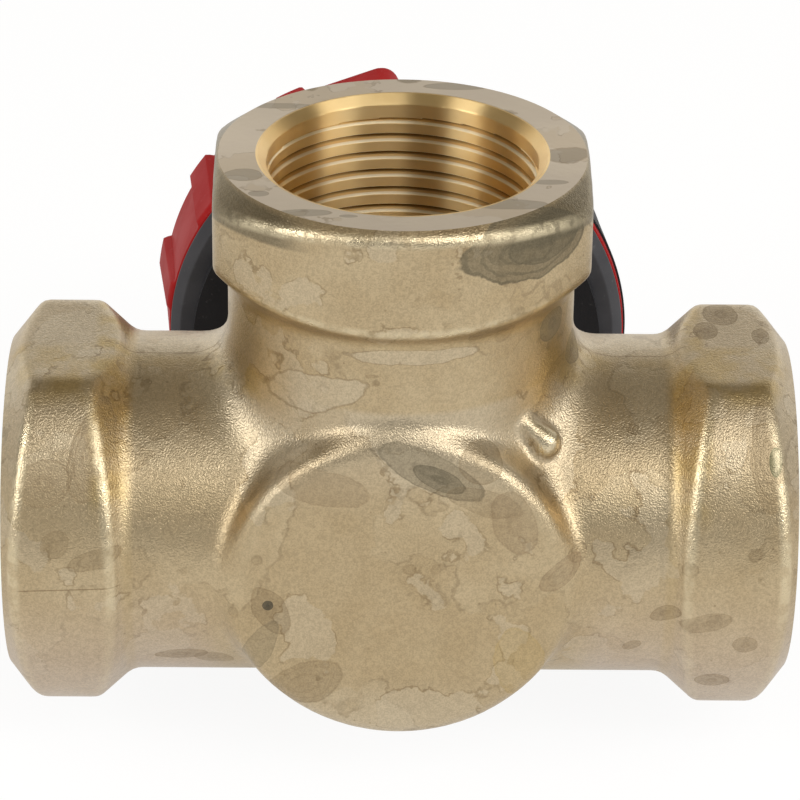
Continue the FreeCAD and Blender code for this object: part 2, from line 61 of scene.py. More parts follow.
# ---- camera ----------------
# A long lens looks down on the valve from the side of its round boss, so that
# the branch mouth, the boss and both through ports are seen at once.
camera_data = bpy.data.cameras.new("camera")
camera_data.sensor_width = 36.0
camera_data.lens = 178.39
camera_data.clip_end = 20.0
CAMERA_PLACE = Vector((-4.085, -323.106, 186.055)) * MM
CAMERA_RIGHT = Vector((0.9999121, -0.0064693, 0.0115751))
CAMERA_UP = Vector((-0.0070877, 0.4770136, 0.8788673))


def new_object(name, data):
    made = bpy.data.objects.new(name, data)
    bpy.context.collection.objects.link(made)
    return made


turn = Matrix((CAMERA_RIGHT, CAMERA_UP, CAMERA_RIGHT.cross(CAMERA_UP))).transposed().to_4x4()
camera = new_object("camera", camera_data)
camera.matrix_world = Matrix.Translation(CAMERA_PLACE) @ turn
bpy.context.scene.camera = camera
bpy.context.scene.view_settings.view_transform = "Standard"

# ---- floor and light ----------------
# A white table that keeps the valve's soft shadow, under a white room that is
# darker towards the front, as the metal of such a valve shows it.
FLOOR_HEIGHT = cad_box[0][2] - 0.2 * MM
FLOOR_REACH = 3.0
TABLE_GLOW = 1.06
SHADOW_DEPTH = 0.15
REFLECTED_SHADOW_DEPTH = 0.4
WALL_LEVEL = 0.28
CEILING_LEVEL = 0.28
BACK_LEVEL = 0.95
PLAIN_LEVEL = 0.5
LAMP_AIM = Vector((0.0, 0.0, 0.01))


class Wiring:
    """Short calls that add nodes to one tree; each takes sockets or plain values."""

    def __init__(self, tree):
        self.tree = tree

    def feed(self, socket, value):
        if isinstance(value, bpy.types.NodeSocket):
            self.tree.links.new(value, socket)
        else:
            socket.default_value = value

    def give(self, made, given):
        """Feed a node's inputs, named or numbered."""
        for socket, value in dict(given).items():
            self.feed(made.inputs[socket], value)
        return made

    def node(self, kind, given=(), **settings):
        """New node with these inputs; the settings are its fields."""
        made = self.tree.nodes.new(kind)
        for key, value in settings.items():
            setattr(made, key, value)
        return self.give(made, given)

    def math(self, operation, *values):
        return self.node("ShaderNodeMath", enumerate(values), operation=operation).outputs[0]

    def line(self, value, factor, start):
        return self.math("MULTIPLY_ADD", value, factor, start)

    def vector(self, operation, *values, output="Vector"):
        made = self.node("ShaderNodeVectorMath", enumerate(values), operation=operation)
        return made.outputs[output]

    def scaled(self, vector, factor):
        given = {0: vector, "Scale": factor}
        return self.node("ShaderNodeVectorMath", given, operation="SCALE").outputs[0]

    def parts(self, vector):
        return self.node("ShaderNodeSeparateXYZ", {0: vector}).outputs

    def step(self, value, low, high, start=0.0, end=1.0):
        """Smooth step from one level at low to another at high."""
        given = {"Value": value, "From Min": low, "From Max": high, "To Min": start, "To Max": end}
        made = self.node("ShaderNodeMapRange", given, interpolation_type="SMOOTHSTEP")
        return made.outputs["Result"]

    def band(self, value, middle, half, soft):
        """1 where a value is within half of the middle, fading over soft."""
        away = self.math("ABSOLUTE", self.math("SUBTRACT", value, middle))
        return self.step(away, half, half + soft, 1.0, 0.0)

    def times(self, total, *values):
        for value in values:
            total = self.math("MULTIPLY", total, value)
        return total

    def largest(self, total, *values):
        for value in values:
            total = self.math("MAXIMUM", total, value)
        return total

    def mix(self, factor, first, second, blend="MIX"):
        given = {0: factor, 6: first, 7: second}
        return self.node("ShaderNodeMix", given, data_type="RGBA", blend_type=blend).outputs[2]

    def blend(self, factor, first, second):
        given = {0: factor, 2: first, 3: second}
        return self.node("ShaderNodeMix", given, data_type="FLOAT").outputs[0]

    def paint(self, tint, amount, *masks):
        """Lay a tint over the colour so far, where all the masks are 1."""
        self.colour = self.mix(self.times(*masks, amount), self.colour, tint)

    def mark(self, found, tint, inside, rim, *masks):
        """Tint the inside of a dried mark and brown its rim, by these amounts."""
        self.paint(tint, inside, found["Inside"], *masks)
        self.paint(RIM_BROWN, rim, found["Rim"], *masks)

    def noise(self, vector, scale, detail=2.0, output="Fac"):
        given = {"Vector": vector, "Scale": scale, "Detail": detail}
        return self.node("ShaderNodeTexNoise", given).outputs[output]

    def wander(self, vector, scale, amount):
        """Random shift of a point, up to half an amount each way."""
        drawn = self.noise(vector, scale, 3.0, "Color")
        return self.scaled(self.vector("SUBTRACT", drawn, (0.5, 0.5, 0.5)), amount)

    def cells(self, vector, scale):
        return self.node("ShaderNodeTexVoronoi", {"Vector": vector, "Scale": scale}).outputs

    def attribute(self, name):
        return self.node("ShaderNodeAttribute", attribute_name=name).outputs["Fac"]

    def group(self, shared, **values):
        """Outputs of a shared group."""
        return self.node("ShaderNodeGroup", values, node_tree=shared).outputs


def wired(owner):
    """Cleared node tree of a material or a world."""
    owner.use_nodes = True
    owner.node_tree.nodes.clear()
    return Wiring(owner.node_tree)


floor_mesh = bpy.data.meshes.new("table_top")
floor_corners = [(x * FLOOR_REACH, y * FLOOR_REACH, FLOOR_HEIGHT)
                 for x, y in ((-1, -1), (1, -1), (1, 1), (-1, 1))]
floor_mesh.from_pydata(floor_corners, [], [(0, 1, 2, 3)])
table_top = new_object("table_top", floor_mesh)
table_material = bpy.data.materials.new("white_table")
wire = wired(table_material)
path = wire.node("ShaderNodeLightPath").outputs
seen_glow = wire.times(path["Is Camera Ray"], 1 - SHADOW_DEPTH)
reflected = wire.largest(path["Is Glossy Ray"], path["Is Transmission Ray"])
reflected_glow = wire.times(reflected, 1 - REFLECTED_SHADOW_DEPTH)
matt = wire.node("ShaderNodeBsdfDiffuse", {"Color": (0.8, 0.8, 0.8, 1)})
glow = wire.node("ShaderNodeEmission", {"Strength": TABLE_GLOW})
shown = wire.node("ShaderNodeMixShader", {0: wire.largest(seen_glow, reflected_glow),
                                          1: matt.outputs[0], 2: glow.outputs[0]})
wire.node("ShaderNodeOutputMaterial", {"Surface": shown.outputs[0]})
floor_mesh.materials.append(table_material)

world = bpy.data.worlds.new("white_room")
bpy.context.scene.world = world
wire = wired(world)
_, depth, height = wire.parts(wire.node("ShaderNodeTexCoord").outputs["Generated"])
front = wire.step(depth, -0.9, -0.2, WALL_LEVEL, CEILING_LEVEL)
back = wire.times(wire.step(depth, 0.15, 0.7), wire.step(height, 0.25, 0.7, BACK_LEVEL, 0))
overhead = wire.step(height, 0.3, 0.75)
path = wire.node("ShaderNodeLightPath").outputs
seen = wire.largest(path["Is Camera Ray"], path["Is Glossy Ray"], path["Is Transmission Ray"])
lit = wire.node("ShaderNodeBackground", {
    "Color": wire.mix(overhead, (1, 1, 1, 1), (1, 0.9, 0.72, 1)),
    "Strength": wire.blend(seen, PLAIN_LEVEL, wire.math("ADD", front, back))})
wire.node("ShaderNodeOutputWorld", {"Surface": lit.outputs[0]})


def soft_box(name, place, size, power):
    """Rectangular area light turned towards the valve."""
    light = bpy.data.lights.new(name, "AREA")
    light.shape = "RECTANGLE"
    light.size, light.size_y = size
    light.energy = power
    lamp = new_object(name, light)
    lamp.location = place
    lamp.rotation_euler = (LAMP_AIM - Vector(place)).to_track_quat("-Z", "Y").to_euler()


soft_box("key_box", (0.2, -0.5, 0.55), (0.5, 0.24), 1.35)
soft_box("left_box", (-0.54, -0.38, 0.34), (0.34, 0.34), 1.75)
soft_box("right_box", (0.56, -0.36, 0.34), (0.4, 0.36), 2.0)

# ---- valve body ----------------
# One sandblasted brass forging: two through necks and a branch neck with wrench
# collars, a round boss at the back and a square flange in front. The port faces
# and bores are turned bright. The forging is worked out as a field of signed
# distances, whose soft unions and soft cuts are the radii of the forging die.
body_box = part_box("valve_body")
port_reach = body_box[1][0] / MM
flange_reach = body_box[1][1] / MM
NECK_RADIUS = 15.8
BOSS_RADIUS = 15.95
BOSS_REACH = 17.1
BOSS_ROUNDING = 2.2
BOSS_LOW_ROUNDING = 3.2
CHAMBER_WALL_RADIUS = 15.5
NUB_START = (11.5, -11.2, 14.2)
NUB_END = (13.0, -11.5, 12.8)
NUB_RADIUS = 0.85
NUB_SWELL = 0.5
COLLAR_FRONT = 17.0
COLLAR_BOW_RADIUS = 21.0
COLLAR_CORNER_RADIUS = 18.8
SHOULDER_ROOT = 24.7
SHOULDER_TOP = 28.3
SHOULDER_LIFT = 0.2
# each collar's upper and lower flat, mouth radius, mouth slope and mouth ovality
RIGHT_COLLAR = (16.85, 17.2, 15.7, 2.4, 1.03)
LEFT_COLLAR = (16.85, 16.9, 15.7, 2.4, 1.03)
BRANCH_COLLAR = (16.85, 16.9, 16.1, 2.05, 0.97)
FLANGE_HALF = 15.6
FLANGE_THICKNESS = 5.0
FLANGE_CORNER = 4.0
SCREW_OFFSET = 11.5
PILLAR_RADIUS = 3.6
PILLAR_LENGTH = 11.5
THREAD_RADIUS = 13.22
THREAD_DEPTH = 14.5
WATERWAY_RADIUS = 9.5
CHAMBER_RADIUS = 12.5
CHAMBER_FLOOR = -13.0
FORM_OVERLAP = 2.0
NECK_FILLET = 4.2
BOSS_FILLET = 1.9
WALL_FILLET = 4.0
FLANGE_EDGE = 1.2
PILLAR_FILLET = 1.5
FLANGE_FILLET = 2.0
COLLAR_FILLET = 0.6
NUB_FILLET = 0.8
CHAMBER_FILLET = 0.6
BOW_EDGE = 0.5
CORNER_EDGE = 0.6
MOUTH_EDGE = 0.5
SHOULDER_EDGE = 0.4
SKIN_MARGIN = 1.5


def soft_union(first, second, width):
    gap = np.maximum(width - np.abs(first - second), 0.0) / width
    return np.minimum(first, second) - gap * gap * width * 0.25


def soft_cut(first, second, width):
    """Material that lies inside both fields, its edge rounded over a width."""
    return -soft_union(-first, -second, width)


def collar_field(along, flat, bow, flat_high, flat_low, mouth_radius, mouth_slope, oval):
    """Wrench collar: two flats, two bowed sides, sloped at both ends."""
    radius = np.hypot(flat, bow)
    mouth = np.hypot(flat * oval, bow)
    bowed = np.hypot(flat, np.abs(bow) + COLLAR_BOW_RADIUS - COLLAR_FRONT) - COLLAR_BOW_RADIUS
    section = soft_cut(np.maximum(flat - flat_high, -flat - flat_low), bowed, BOW_EDGE)
    section = soft_cut(section, radius - COLLAR_CORNER_RADIUS, CORNER_EDGE)
    rise = COLLAR_CORNER_RADIUS - mouth_radius
    slope = (mouth - mouth_radius) * mouth_slope + (along - port_reach) * rise
    slope /= math.hypot(mouth_slope, rise)
    climb = COLLAR_CORNER_RADIUS + SHOULDER_LIFT - NECK_RADIUS
    length = SHOULDER_TOP - SHOULDER_ROOT
    shoulder = (radius - NECK_RADIUS) * length - (along - SHOULDER_ROOT) * climb
    shoulder /= math.hypot(climb, length)
    return soft_cut(soft_cut(section, slope, MOUTH_EDGE), shoulder, SHOULDER_EDGE)


def gate_nub(x, y, z):
    """Small tapered nub that the die left where the branch, the neck and the boss meet."""
    run = np.subtract(NUB_END, NUB_START)
    place = np.stack([x, y, z], -1) - NUB_START
    share = np.clip(place @ run / (run @ run), 0.0, 1.0)
    away = place - share[..., None] * run
    return np.sqrt((away ** 2).sum(-1)) - (NUB_RADIUS + NUB_SWELL * share)


def forging_field(x, y, z):
    """Signed distance to the forging's skin, in millimetres."""
    neck_end = SHOULDER_ROOT + FORM_OVERLAP
    through = np.maximum(np.hypot(y, z) - NECK_RADIUS, np.abs(x) - neck_end)
    branch = np.maximum(np.hypot(x, y) - NECK_RADIUS, np.maximum(z - neck_end, -z))
    necks = soft_union(through, branch, NECK_FILLET)
    round_y = np.hypot(x, z)
    past_flange = y - flange_reach - FORM_OVERLAP
    lower = np.clip((-z - 3.0) / 9.0, 0.0, 1.0)
    rounding = BOSS_ROUNDING + (BOSS_LOW_ROUNDING - BOSS_ROUNDING) * lower
    boss = soft_cut(round_y - BOSS_RADIUS, -BOSS_REACH - y, rounding)
    boss = np.maximum(boss, y)
    wall = np.maximum(round_y - CHAMBER_WALL_RADIUS, np.maximum(-y, past_flange))
    solid = soft_union(soft_union(necks, boss, BOSS_FILLET), wall, WALL_FILLET)
    square_x = np.abs(x) - FLANGE_HALF + FLANGE_CORNER
    square_z = np.abs(z) - FLANGE_HALF + FLANGE_CORNER
    square = np.hypot(np.maximum(square_x, 0), np.maximum(square_z, 0)) - FLANGE_CORNER
    square = np.maximum(square, np.minimum(np.maximum(square_x, square_z), 0) - FLANGE_CORNER)
    flange = soft_cut(square, flange_reach - FLANGE_THICKNESS - y, FLANGE_EDGE)
    flange = np.maximum(flange, past_flange)
    pillar = np.hypot(np.abs(x) - SCREW_OFFSET, np.abs(z) - SCREW_OFFSET) - PILLAR_RADIUS
    pillar = np.maximum(pillar, np.maximum(flange_reach - PILLAR_LENGTH - y, past_flange))
    solid = soft_union(solid, soft_union(flange, pillar, PILLAR_FILLET), FLANGE_FILLET)
    for along, flat, sizes in ((x, z, RIGHT_COLLAR), (-x, z, LEFT_COLLAR), (z, x, BRANCH_COLLAR)):
        solid = soft_union(solid, collar_field(along, flat, y, *sizes), COLLAR_FILLET)
    return soft_union(solid, gate_nub(x, y, z), NUB_FILLET)


def cavity_field(x, y, z):
    """Signed distance to the wall of the waterways and the rotor chamber."""
    chamber = np.maximum(np.hypot(x, z) - CHAMBER_RADIUS, CHAMBER_FLOOR - y)
    through = np.hypot(y, z) - WATERWAY_RADIUS
    branch = np.maximum(np.hypot(x, y) - WATERWAY_RADIUS, -z)
    return soft_union(chamber, np.minimum(through, branch), CHAMBER_FILLET)


def layers(array, axes, shifts):
    """An array without its first layer along each shifted axis, or else its last."""
    for axis, shift in zip(axes, shifts):
        array = np.delete(array, 0 if shift else -1, axis)
    return array


def skin(field, low, high, step):
    """Vertices and quads of a field's zero surface, one vertex in each crossed cell."""
    low = np.array(low) - SKIN_MARGIN
    high = np.array(high) + SKIN_MARGIN
    axes = [a + step * np.arange(math.ceil((b - a) / step) + 1) for a, b in zip(low, high)]
    values = field(*np.meshgrid(*axes, indexing="ij"))
    inside = (values < 0).astype(int)
    shape = tuple(len(axis) - 1 for axis in axes)
    total = np.zeros(shape + (3,))
    hits = np.zeros(shape)
    for axis in range(3):
        others = [i for i in range(3) if i != axis]
        crossed = np.diff(inside, axis=axis) != 0
        fall = np.where(crossed, -np.diff(values, axis=axis), 1.0)
        share = np.where(crossed, np.delete(values, -1, axis) / fall, 0.0)
        for shifts in ((0, 0), (0, 1), (1, 0), (1, 1)):
            hit = layers(crossed, others, shifts)
            hits += hit
            total[..., axis] += layers(share, others, shifts)
            for other, shift in zip(others, shifts):
                total[..., other] += hit * shift
    used = hits > 0
    cells = np.argwhere(used)
    points = (cells + total[used] / hits[used][:, None]) * step + low
    number = -np.ones(shape, dtype=np.int64)
    number[used] = np.arange(len(cells))
    nudge = 1e-3
    for _ in range(4):
        base = field(*points.T)
        slope = [field(*(points + np.eye(3)[i] * nudge).T) - base for i in range(3)]
        slope = np.stack(slope, 1) / nudge
        points = points - (base / np.maximum((slope ** 2).sum(1), 0.2))[:, None] * slope
    quads = []
    for axis in range(3):
        others = [i for i in range(3) if i != axis]
        change = np.diff(inside, axis=axis)
        for way in (-1, 1):
            spots = np.argwhere(change == way)
            within = (spots > 0) & (spots < shape)
            spots = spots[within[:, others].all(1)]
            corners = []
            for shifts in ((1, 1), (0, 1), (0, 0), (1, 0)):
                cell = spots.copy()
                cell[:, others] -= shifts
                corners.append(number[tuple(cell.T)])
            quad = np.stack(corners, 1)
            quads.append(quad[:, ::-1] if (way > 0) != (axis == 1) else quad)
    return points, np.concatenate(quads)


def as_mesh(name, points, quads):
    mesh = bpy.data.meshes.new(name)
    mesh.vertices.add(len(points))
    mesh.vertices.foreach_set("co", (points * MM).astype(np.float32).ravel())
    mesh.loops.add(quads.size)
    mesh.loops.foreach_set("vertex_index", quads.astype(np.int32).ravel())
    mesh.polygons.add(len(quads))
    mesh.polygons.foreach_set("loop_start", np.arange(0, quads.size, 4, dtype=np.int32))
    mesh.update(calc_edges=True)
    return mesh


outer_points, outer_quads = skin(
    forging_field, (-port_reach, -COLLAR_CORNER_RADIUS, -COLLAR_CORNER_RADIUS),
    (port_reach, flange_reach, port_reach), 0.5)
cavity_reach = port_reach - THREAD_DEPTH
inner_points, inner_quads = skin(
    cavity_field, (-cavity_reach, CHAMBER_FLOOR, -CHAMBER_RADIUS),
    (cavity_reach, flange_reach, cavity_reach), 0.8)

HOOP_POINTS = 192
PORTS = (Vector((1, 0, 0)), Vector((-1, 0, 0)), Vector((0, 0, 1)))
UP_STEM = Vector((0, 1, 0))


def trimmed(bm, direction, distance):
    """Cut everything past a plane away; returns the open edge that is left."""
    geometry = bm.verts[:] + bm.edges[:] + bm.faces[:]
    result = bmesh.ops.bisect_plane(bm, geom=geometry, dist=1e-7,
                                    plane_co=direction * distance * MM, plane_no=direction,
                                    clear_outer=True)
    return [item for item in result["geom_cut"] if isinstance(item, bmesh.types.BMEdge)]


def hoop(bm, direction, radius, distance):
    """Closed ring of edges about a port axis."""
    across = direction.cross(UP_STEM)
    verts = []
    for index in range(HOOP_POINTS):
        angle = 2 * math.pi * index / HOOP_POINTS
        spoke = UP_STEM * math.cos(angle) + across * math.sin(angle)
        verts.append(bm.verts.new((spoke * radius + direction * distance) * MM))
    return [bm.edges.new(pair) for pair in zip(verts, verts[1:] + verts[:1])]


def joined(bm, first, second, slot):
    """Band of faces between two closed rings of edges, creased at the first."""
    for face in bmesh.ops.bridge_loops(bm, edges=first + second)["faces"]:
        face.material_index = slot
    for edge in first:
        edge.smooth = False


body_mesh = as_mesh("forged_body", outer_points, outer_quads)
WEAR_REACH = 0.7
around = -6 * forging_field(*outer_points.T)
for shift in np.concatenate([np.eye(3), -np.eye(3)]) * WEAR_REACH:
    around += forging_field(*(outer_points + shift).T)
wear_layer = body_mesh.attributes.new("wear", "FLOAT", "POINT")
wear_layer.data.foreach_set("value", (around / WEAR_REACH).astype(np.float32))
bm = bmesh.new()
bm.from_mesh(body_mesh)
outer_edges = [trimmed(bm, direction, port_reach) for direction in PORTS]
flange_edge = trimmed(bm, UP_STEM, flange_reach)
cavity = bmesh.new()
cavity.from_mesh(as_mesh("cavity", inner_points, inner_quads))
bmesh.ops.reverse_faces(cavity, faces=cavity.faces[:])
for direction in PORTS:
    trimmed(cavity, direction, cavity_reach)
trimmed(cavity, UP_STEM, flange_reach)
for face in cavity.faces:
    face.material_index = 2
cavity_mesh = bpy.data.meshes.new("cavity_trimmed")
cavity.to_mesh(cavity_mesh)
cavity.free()
bm.from_mesh(cavity_mesh)


def open_edges_at(bm, direction, distance, limit):
    """Open edges lying in a plane, no further from its axis than a limit."""
    found = []
    for edge in [edge for edge in bm.edges if edge.is_boundary]:
        middle = (edge.verts[0].co + edge.verts[1].co) / (2 * MM)
        along = middle.dot(direction)
        if abs(along - distance) < 1e-3 and (middle - direction * along).length < limit:
            found.append(edge)
    return found


MOUTH_CHAMFER = 0.02
for direction, outline in zip(PORTS, outer_edges):
    outline = [edge for edge in outline if edge.is_valid]
    lip = hoop(bm, direction, THREAD_RADIUS + MOUTH_CHAMFER, port_reach)
    joined(bm, outline, lip, 1)
    throat = hoop(bm, direction, THREAD_RADIUS, port_reach - MOUTH_CHAMFER)
    joined(bm, lip, throat, 1)
    seat = hoop(bm, direction, THREAD_RADIUS, cavity_reach)
    joined(bm, throat, seat, 2)
    water = open_edges_at(bm, direction, cavity_reach, WATERWAY_RADIUS + 1)
    joined(bm, seat, water, 2)
chamber_edge = open_edges_at(bm, UP_STEM, flange_reach, CHAMBER_RADIUS + 1)
joined(bm, [edge for edge in flange_edge if edge.is_valid], chamber_edge, 1)
bmesh.ops.recalc_face_normals(bm, faces=bm.faces[:])
for face in bm.faces:
    face.smooth = True
bm.to_mesh(body_mesh)
bm.free()
forged_body = new_object("forged_body", body_mesh)


def shared_group(name, outputs, **inputs):
    """Empty shader group with inputs that are numbers or vectors, and its wiring."""
    tree = bpy.data.node_groups.new(name, "ShaderNodeTree")
    for label, value in inputs.items():
        kind = "NodeSocketFloat" if isinstance(value, float) else "NodeSocketVector"
        socket = tree.interface.new_socket(label, in_out="INPUT", socket_type=kind)
        socket.default_value = value
    for label in outputs:
        tree.interface.new_socket(label, in_out="OUTPUT", socket_type="NodeSocketFloat")
    wire = Wiring(tree)
    return tree, wire, wire.node("NodeGroupInput").outputs, wire.node("NodeGroupOutput")


# Fine blasted grain: a height for the bump, a speckle, dark pits and a slow mottling.
blast_grain, wire, given, made = shared_group(
    "blast_grain", ["Height", "Speckle", "Pits", "Mottle"], Place=(0, 0, 0), Grain=6.5)
fine = wire.noise(given["Place"], given["Grain"], 1.5)
coarse = wire.noise(given["Place"], wire.times(given["Grain"], 0.4), 1)
cells = wire.cells(given["Place"], 0.8)
chosen, _, _ = wire.parts(cells["Color"])
spot = wire.step(cells["Distance"], 0.04, 0.13, 1, 0)
wire.give(made, {"Height": wire.blend(0.12, fine, coarse),
                 "Speckle": wire.step(wire.blend(0.35, fine, coarse), 0.36, 0.64),
                 "Pits": wire.times(spot, wire.step(chosen, 0.72, 0.76)),
                 "Mottle": wire.step(wire.noise(given["Place"], 0.22, 5), 0.33, 0.67)})

# Tide marks: ragged patches that dried with a thin dark outline, broken here and there.
tide_marks, wire, given, made = shared_group(
    "tide_marks", ["Rim", "Inside"], Place=(0, 0, 0), Size=9.0, Level=0.56)
ragged = wire.noise(given["Place"], wire.math("DIVIDE", 1, given["Size"]), 5)
away = wire.math("SUBTRACT", ragged, given["Level"])
broken = wire.step(wire.noise(given["Place"], 0.35, 2), 0.4, 0.6)
wire.give(made, {"Rim": wire.times(wire.band(away, 0, 0.002, 0.008), broken),
                 "Inside": wire.step(away, 0, 0.014)})

# Dried water: drops of random size with a brown rim and a duller inside.
water_marks, wire, given, made = shared_group(
    "water_marks", ["Rim", "Inside"], Place=(0, 0, 0), Spacing=6.0, Share=0.4, Raggedness=0.35)
spread = wire.math("DIVIDE", 1.0, given["Spacing"])
shift = wire.wander(given["Place"], wire.times(spread, 1.6), given["Raggedness"])
cells = wire.cells(wire.vector("ADD", wire.scaled(given["Place"], spread), shift), 1)
chosen, size, _ = wire.parts(cells["Color"])
present = wire.math("LESS_THAN", chosen, given["Share"])
away = wire.math("SUBTRACT", cells["Distance"], wire.line(size, 0.3, 0.12))
wire.give(made, {"Rim": wire.times(wire.band(away, 0, 0.012, 0.03), present),
                 "Inside": wire.times(wire.step(away, -0.03, 0, 1, 0), present)})

# One larger stain about a centre, drawn as rings that bend with the drying edge.
ring_stain, wire, given, made = shared_group(
    "ring_stain", ["Inside", "Rim", "Rings"], Place=(0, 0, 0), Centre=(0, 0, 0),
    Reach=(1, 1, 1), Turn=0.0, Rings=4.0, Raggedness=0.4)
local = wire.vector("SUBTRACT", given["Place"], given["Centre"])
local = wire.node("ShaderNodeVectorRotate", {"Vector": local, "Angle": given["Turn"]},
                  rotation_type="Y_AXIS").outputs[0]
shift = wire.vector("ADD", wire.wander(given["Place"], 0.35, given["Raggedness"]),
                    wire.wander(given["Place"], 1.1, 0.12))
shaped = wire.vector("ADD", wire.vector("DIVIDE", local, given["Reach"]), shift)
away = wire.vector("LENGTH", shaped, output="Value")
inside = wire.step(away, 0.94, 1.02, 1, 0)
wave = wire.math("SINE", wire.times(away, given["Rings"], 2 * math.pi))
wire.give(made, {"Inside": inside, "Rim": wire.band(away, 0.98, 0.02, 0.05),
                 "Rings": wire.times(wire.step(wave, 0, 0.9), inside)})


def surface(name, grain_size):
    """Material begun with its shader, the place in millimetres and a blasted grain."""
    material = bpy.data.materials.new(name)
    wire = wired(material)
    wire.shader = wire.node("ShaderNodeBsdfPrincipled")
    wire.node("ShaderNodeOutputMaterial", {0: wire.shader.outputs[0]})
    place = wire.scaled(wire.node("ShaderNodeTexCoord").outputs["Object"], 1000.0)
    return material, wire, place, wire.group(blast_grain, Place=place, Grain=grain_size)


def finished(wire, roughness, height, depth_mm, metallic=0.0):
    """Feed the shader its colour, roughness and a bump of a depth in millimetres."""
    bump = wire.node("ShaderNodeBump", {"Strength": 1.0, "Distance": depth_mm * MM,
                                        "Height": height})
    wire.give(wire.shader, {"Base Color": wire.colour, "Metallic": metallic,
                            "Roughness": roughness, "Normal": bump.outputs["Normal"]})


BRASS = (0.53, 0.42, 0.26, 1)
PALE_BRASS = (0.57, 0.48, 0.34, 1)
OCHRE_BRASS = (0.5, 0.36, 0.14, 1)
BROWN_BRASS = (0.42, 0.31, 0.17, 1)
RIM_BROWN = (0.24, 0.17, 0.09, 1)
OLIVE_GREY = (0.17, 0.145, 0.095, 1)
TABLE_REFLECTION_PINK = (0.55, 0.45, 0.36, 1)
BARE_AND_HIGHLIT_BRASS = (0.78, 0.67, 0.45, 1)
BROWN_SMEAR = (0.3, 0.215, 0.125, 1)

brass, wire, place, grain = surface("sandblasted_brass", 6.5)
x, y, z = wire.parts(place)
side = wire.math("ABSOLUTE", x)
wire.colour = BRASS
wire.paint(BROWN_BRASS, 0.35, grain["Mottle"])

# painted reflection: paler towards the top and the bottom of the through necks, where they face the
# bright room above and the white table below
on_through = wire.step(z, 17.4, 18.2, 1, 0)
wire.paint(PALE_BRASS, 0.75, wire.step(wire.math("ABSOLUTE", z), 7, 15), on_through)

# warmer in the hollows beside the collars and at the sides of the branch neck
by_collar = wire.times(wire.band(side, 26.3, 1, 1.2), wire.step(z, 5, 11), on_through)
by_branch = wire.times(wire.step(side, 10.5, 14.5), wire.band(z, 20.5, 4, 1.5),
                       wire.step(y, -2, 0, 1, 0))
patchy = wire.step(wire.noise(place, 0.3, 3), 0.3, 0.65)
wire.paint(OCHRE_BRASS, 0.8, wire.largest(by_collar, by_branch), patchy)

# dried drops, small ones in drifts and a few broad ones
drift = wire.step(wire.noise(place, 0.09, 2), 0.48, 0.6)
small = wire.group(water_marks, Place=place, Spacing=2.6, Share=0.4, Raggedness=0.3)
broad = wire.group(tide_marks, Place=place, Size=8, Level=0.57)
faint = wire.group(tide_marks, Place=wire.vector("ADD", place, (31, 7, 13)), Size=14,
                   Level=0.5)
wire.mark(small, RIM_BROWN, 0.3, 0.4, drift)
wire.mark(faint, BROWN_BRASS, 0.3, 0.4)
wire.mark(broad, PALE_BRASS, 0.4, 0.55)

# painted reflection of the white table: the undersides of the through ports are duller and pinker
wire.paint(TABLE_REFLECTION_PINK, 0.6, wire.step(z, -12, 3, 1, 0), wire.step(side, 15, 19))

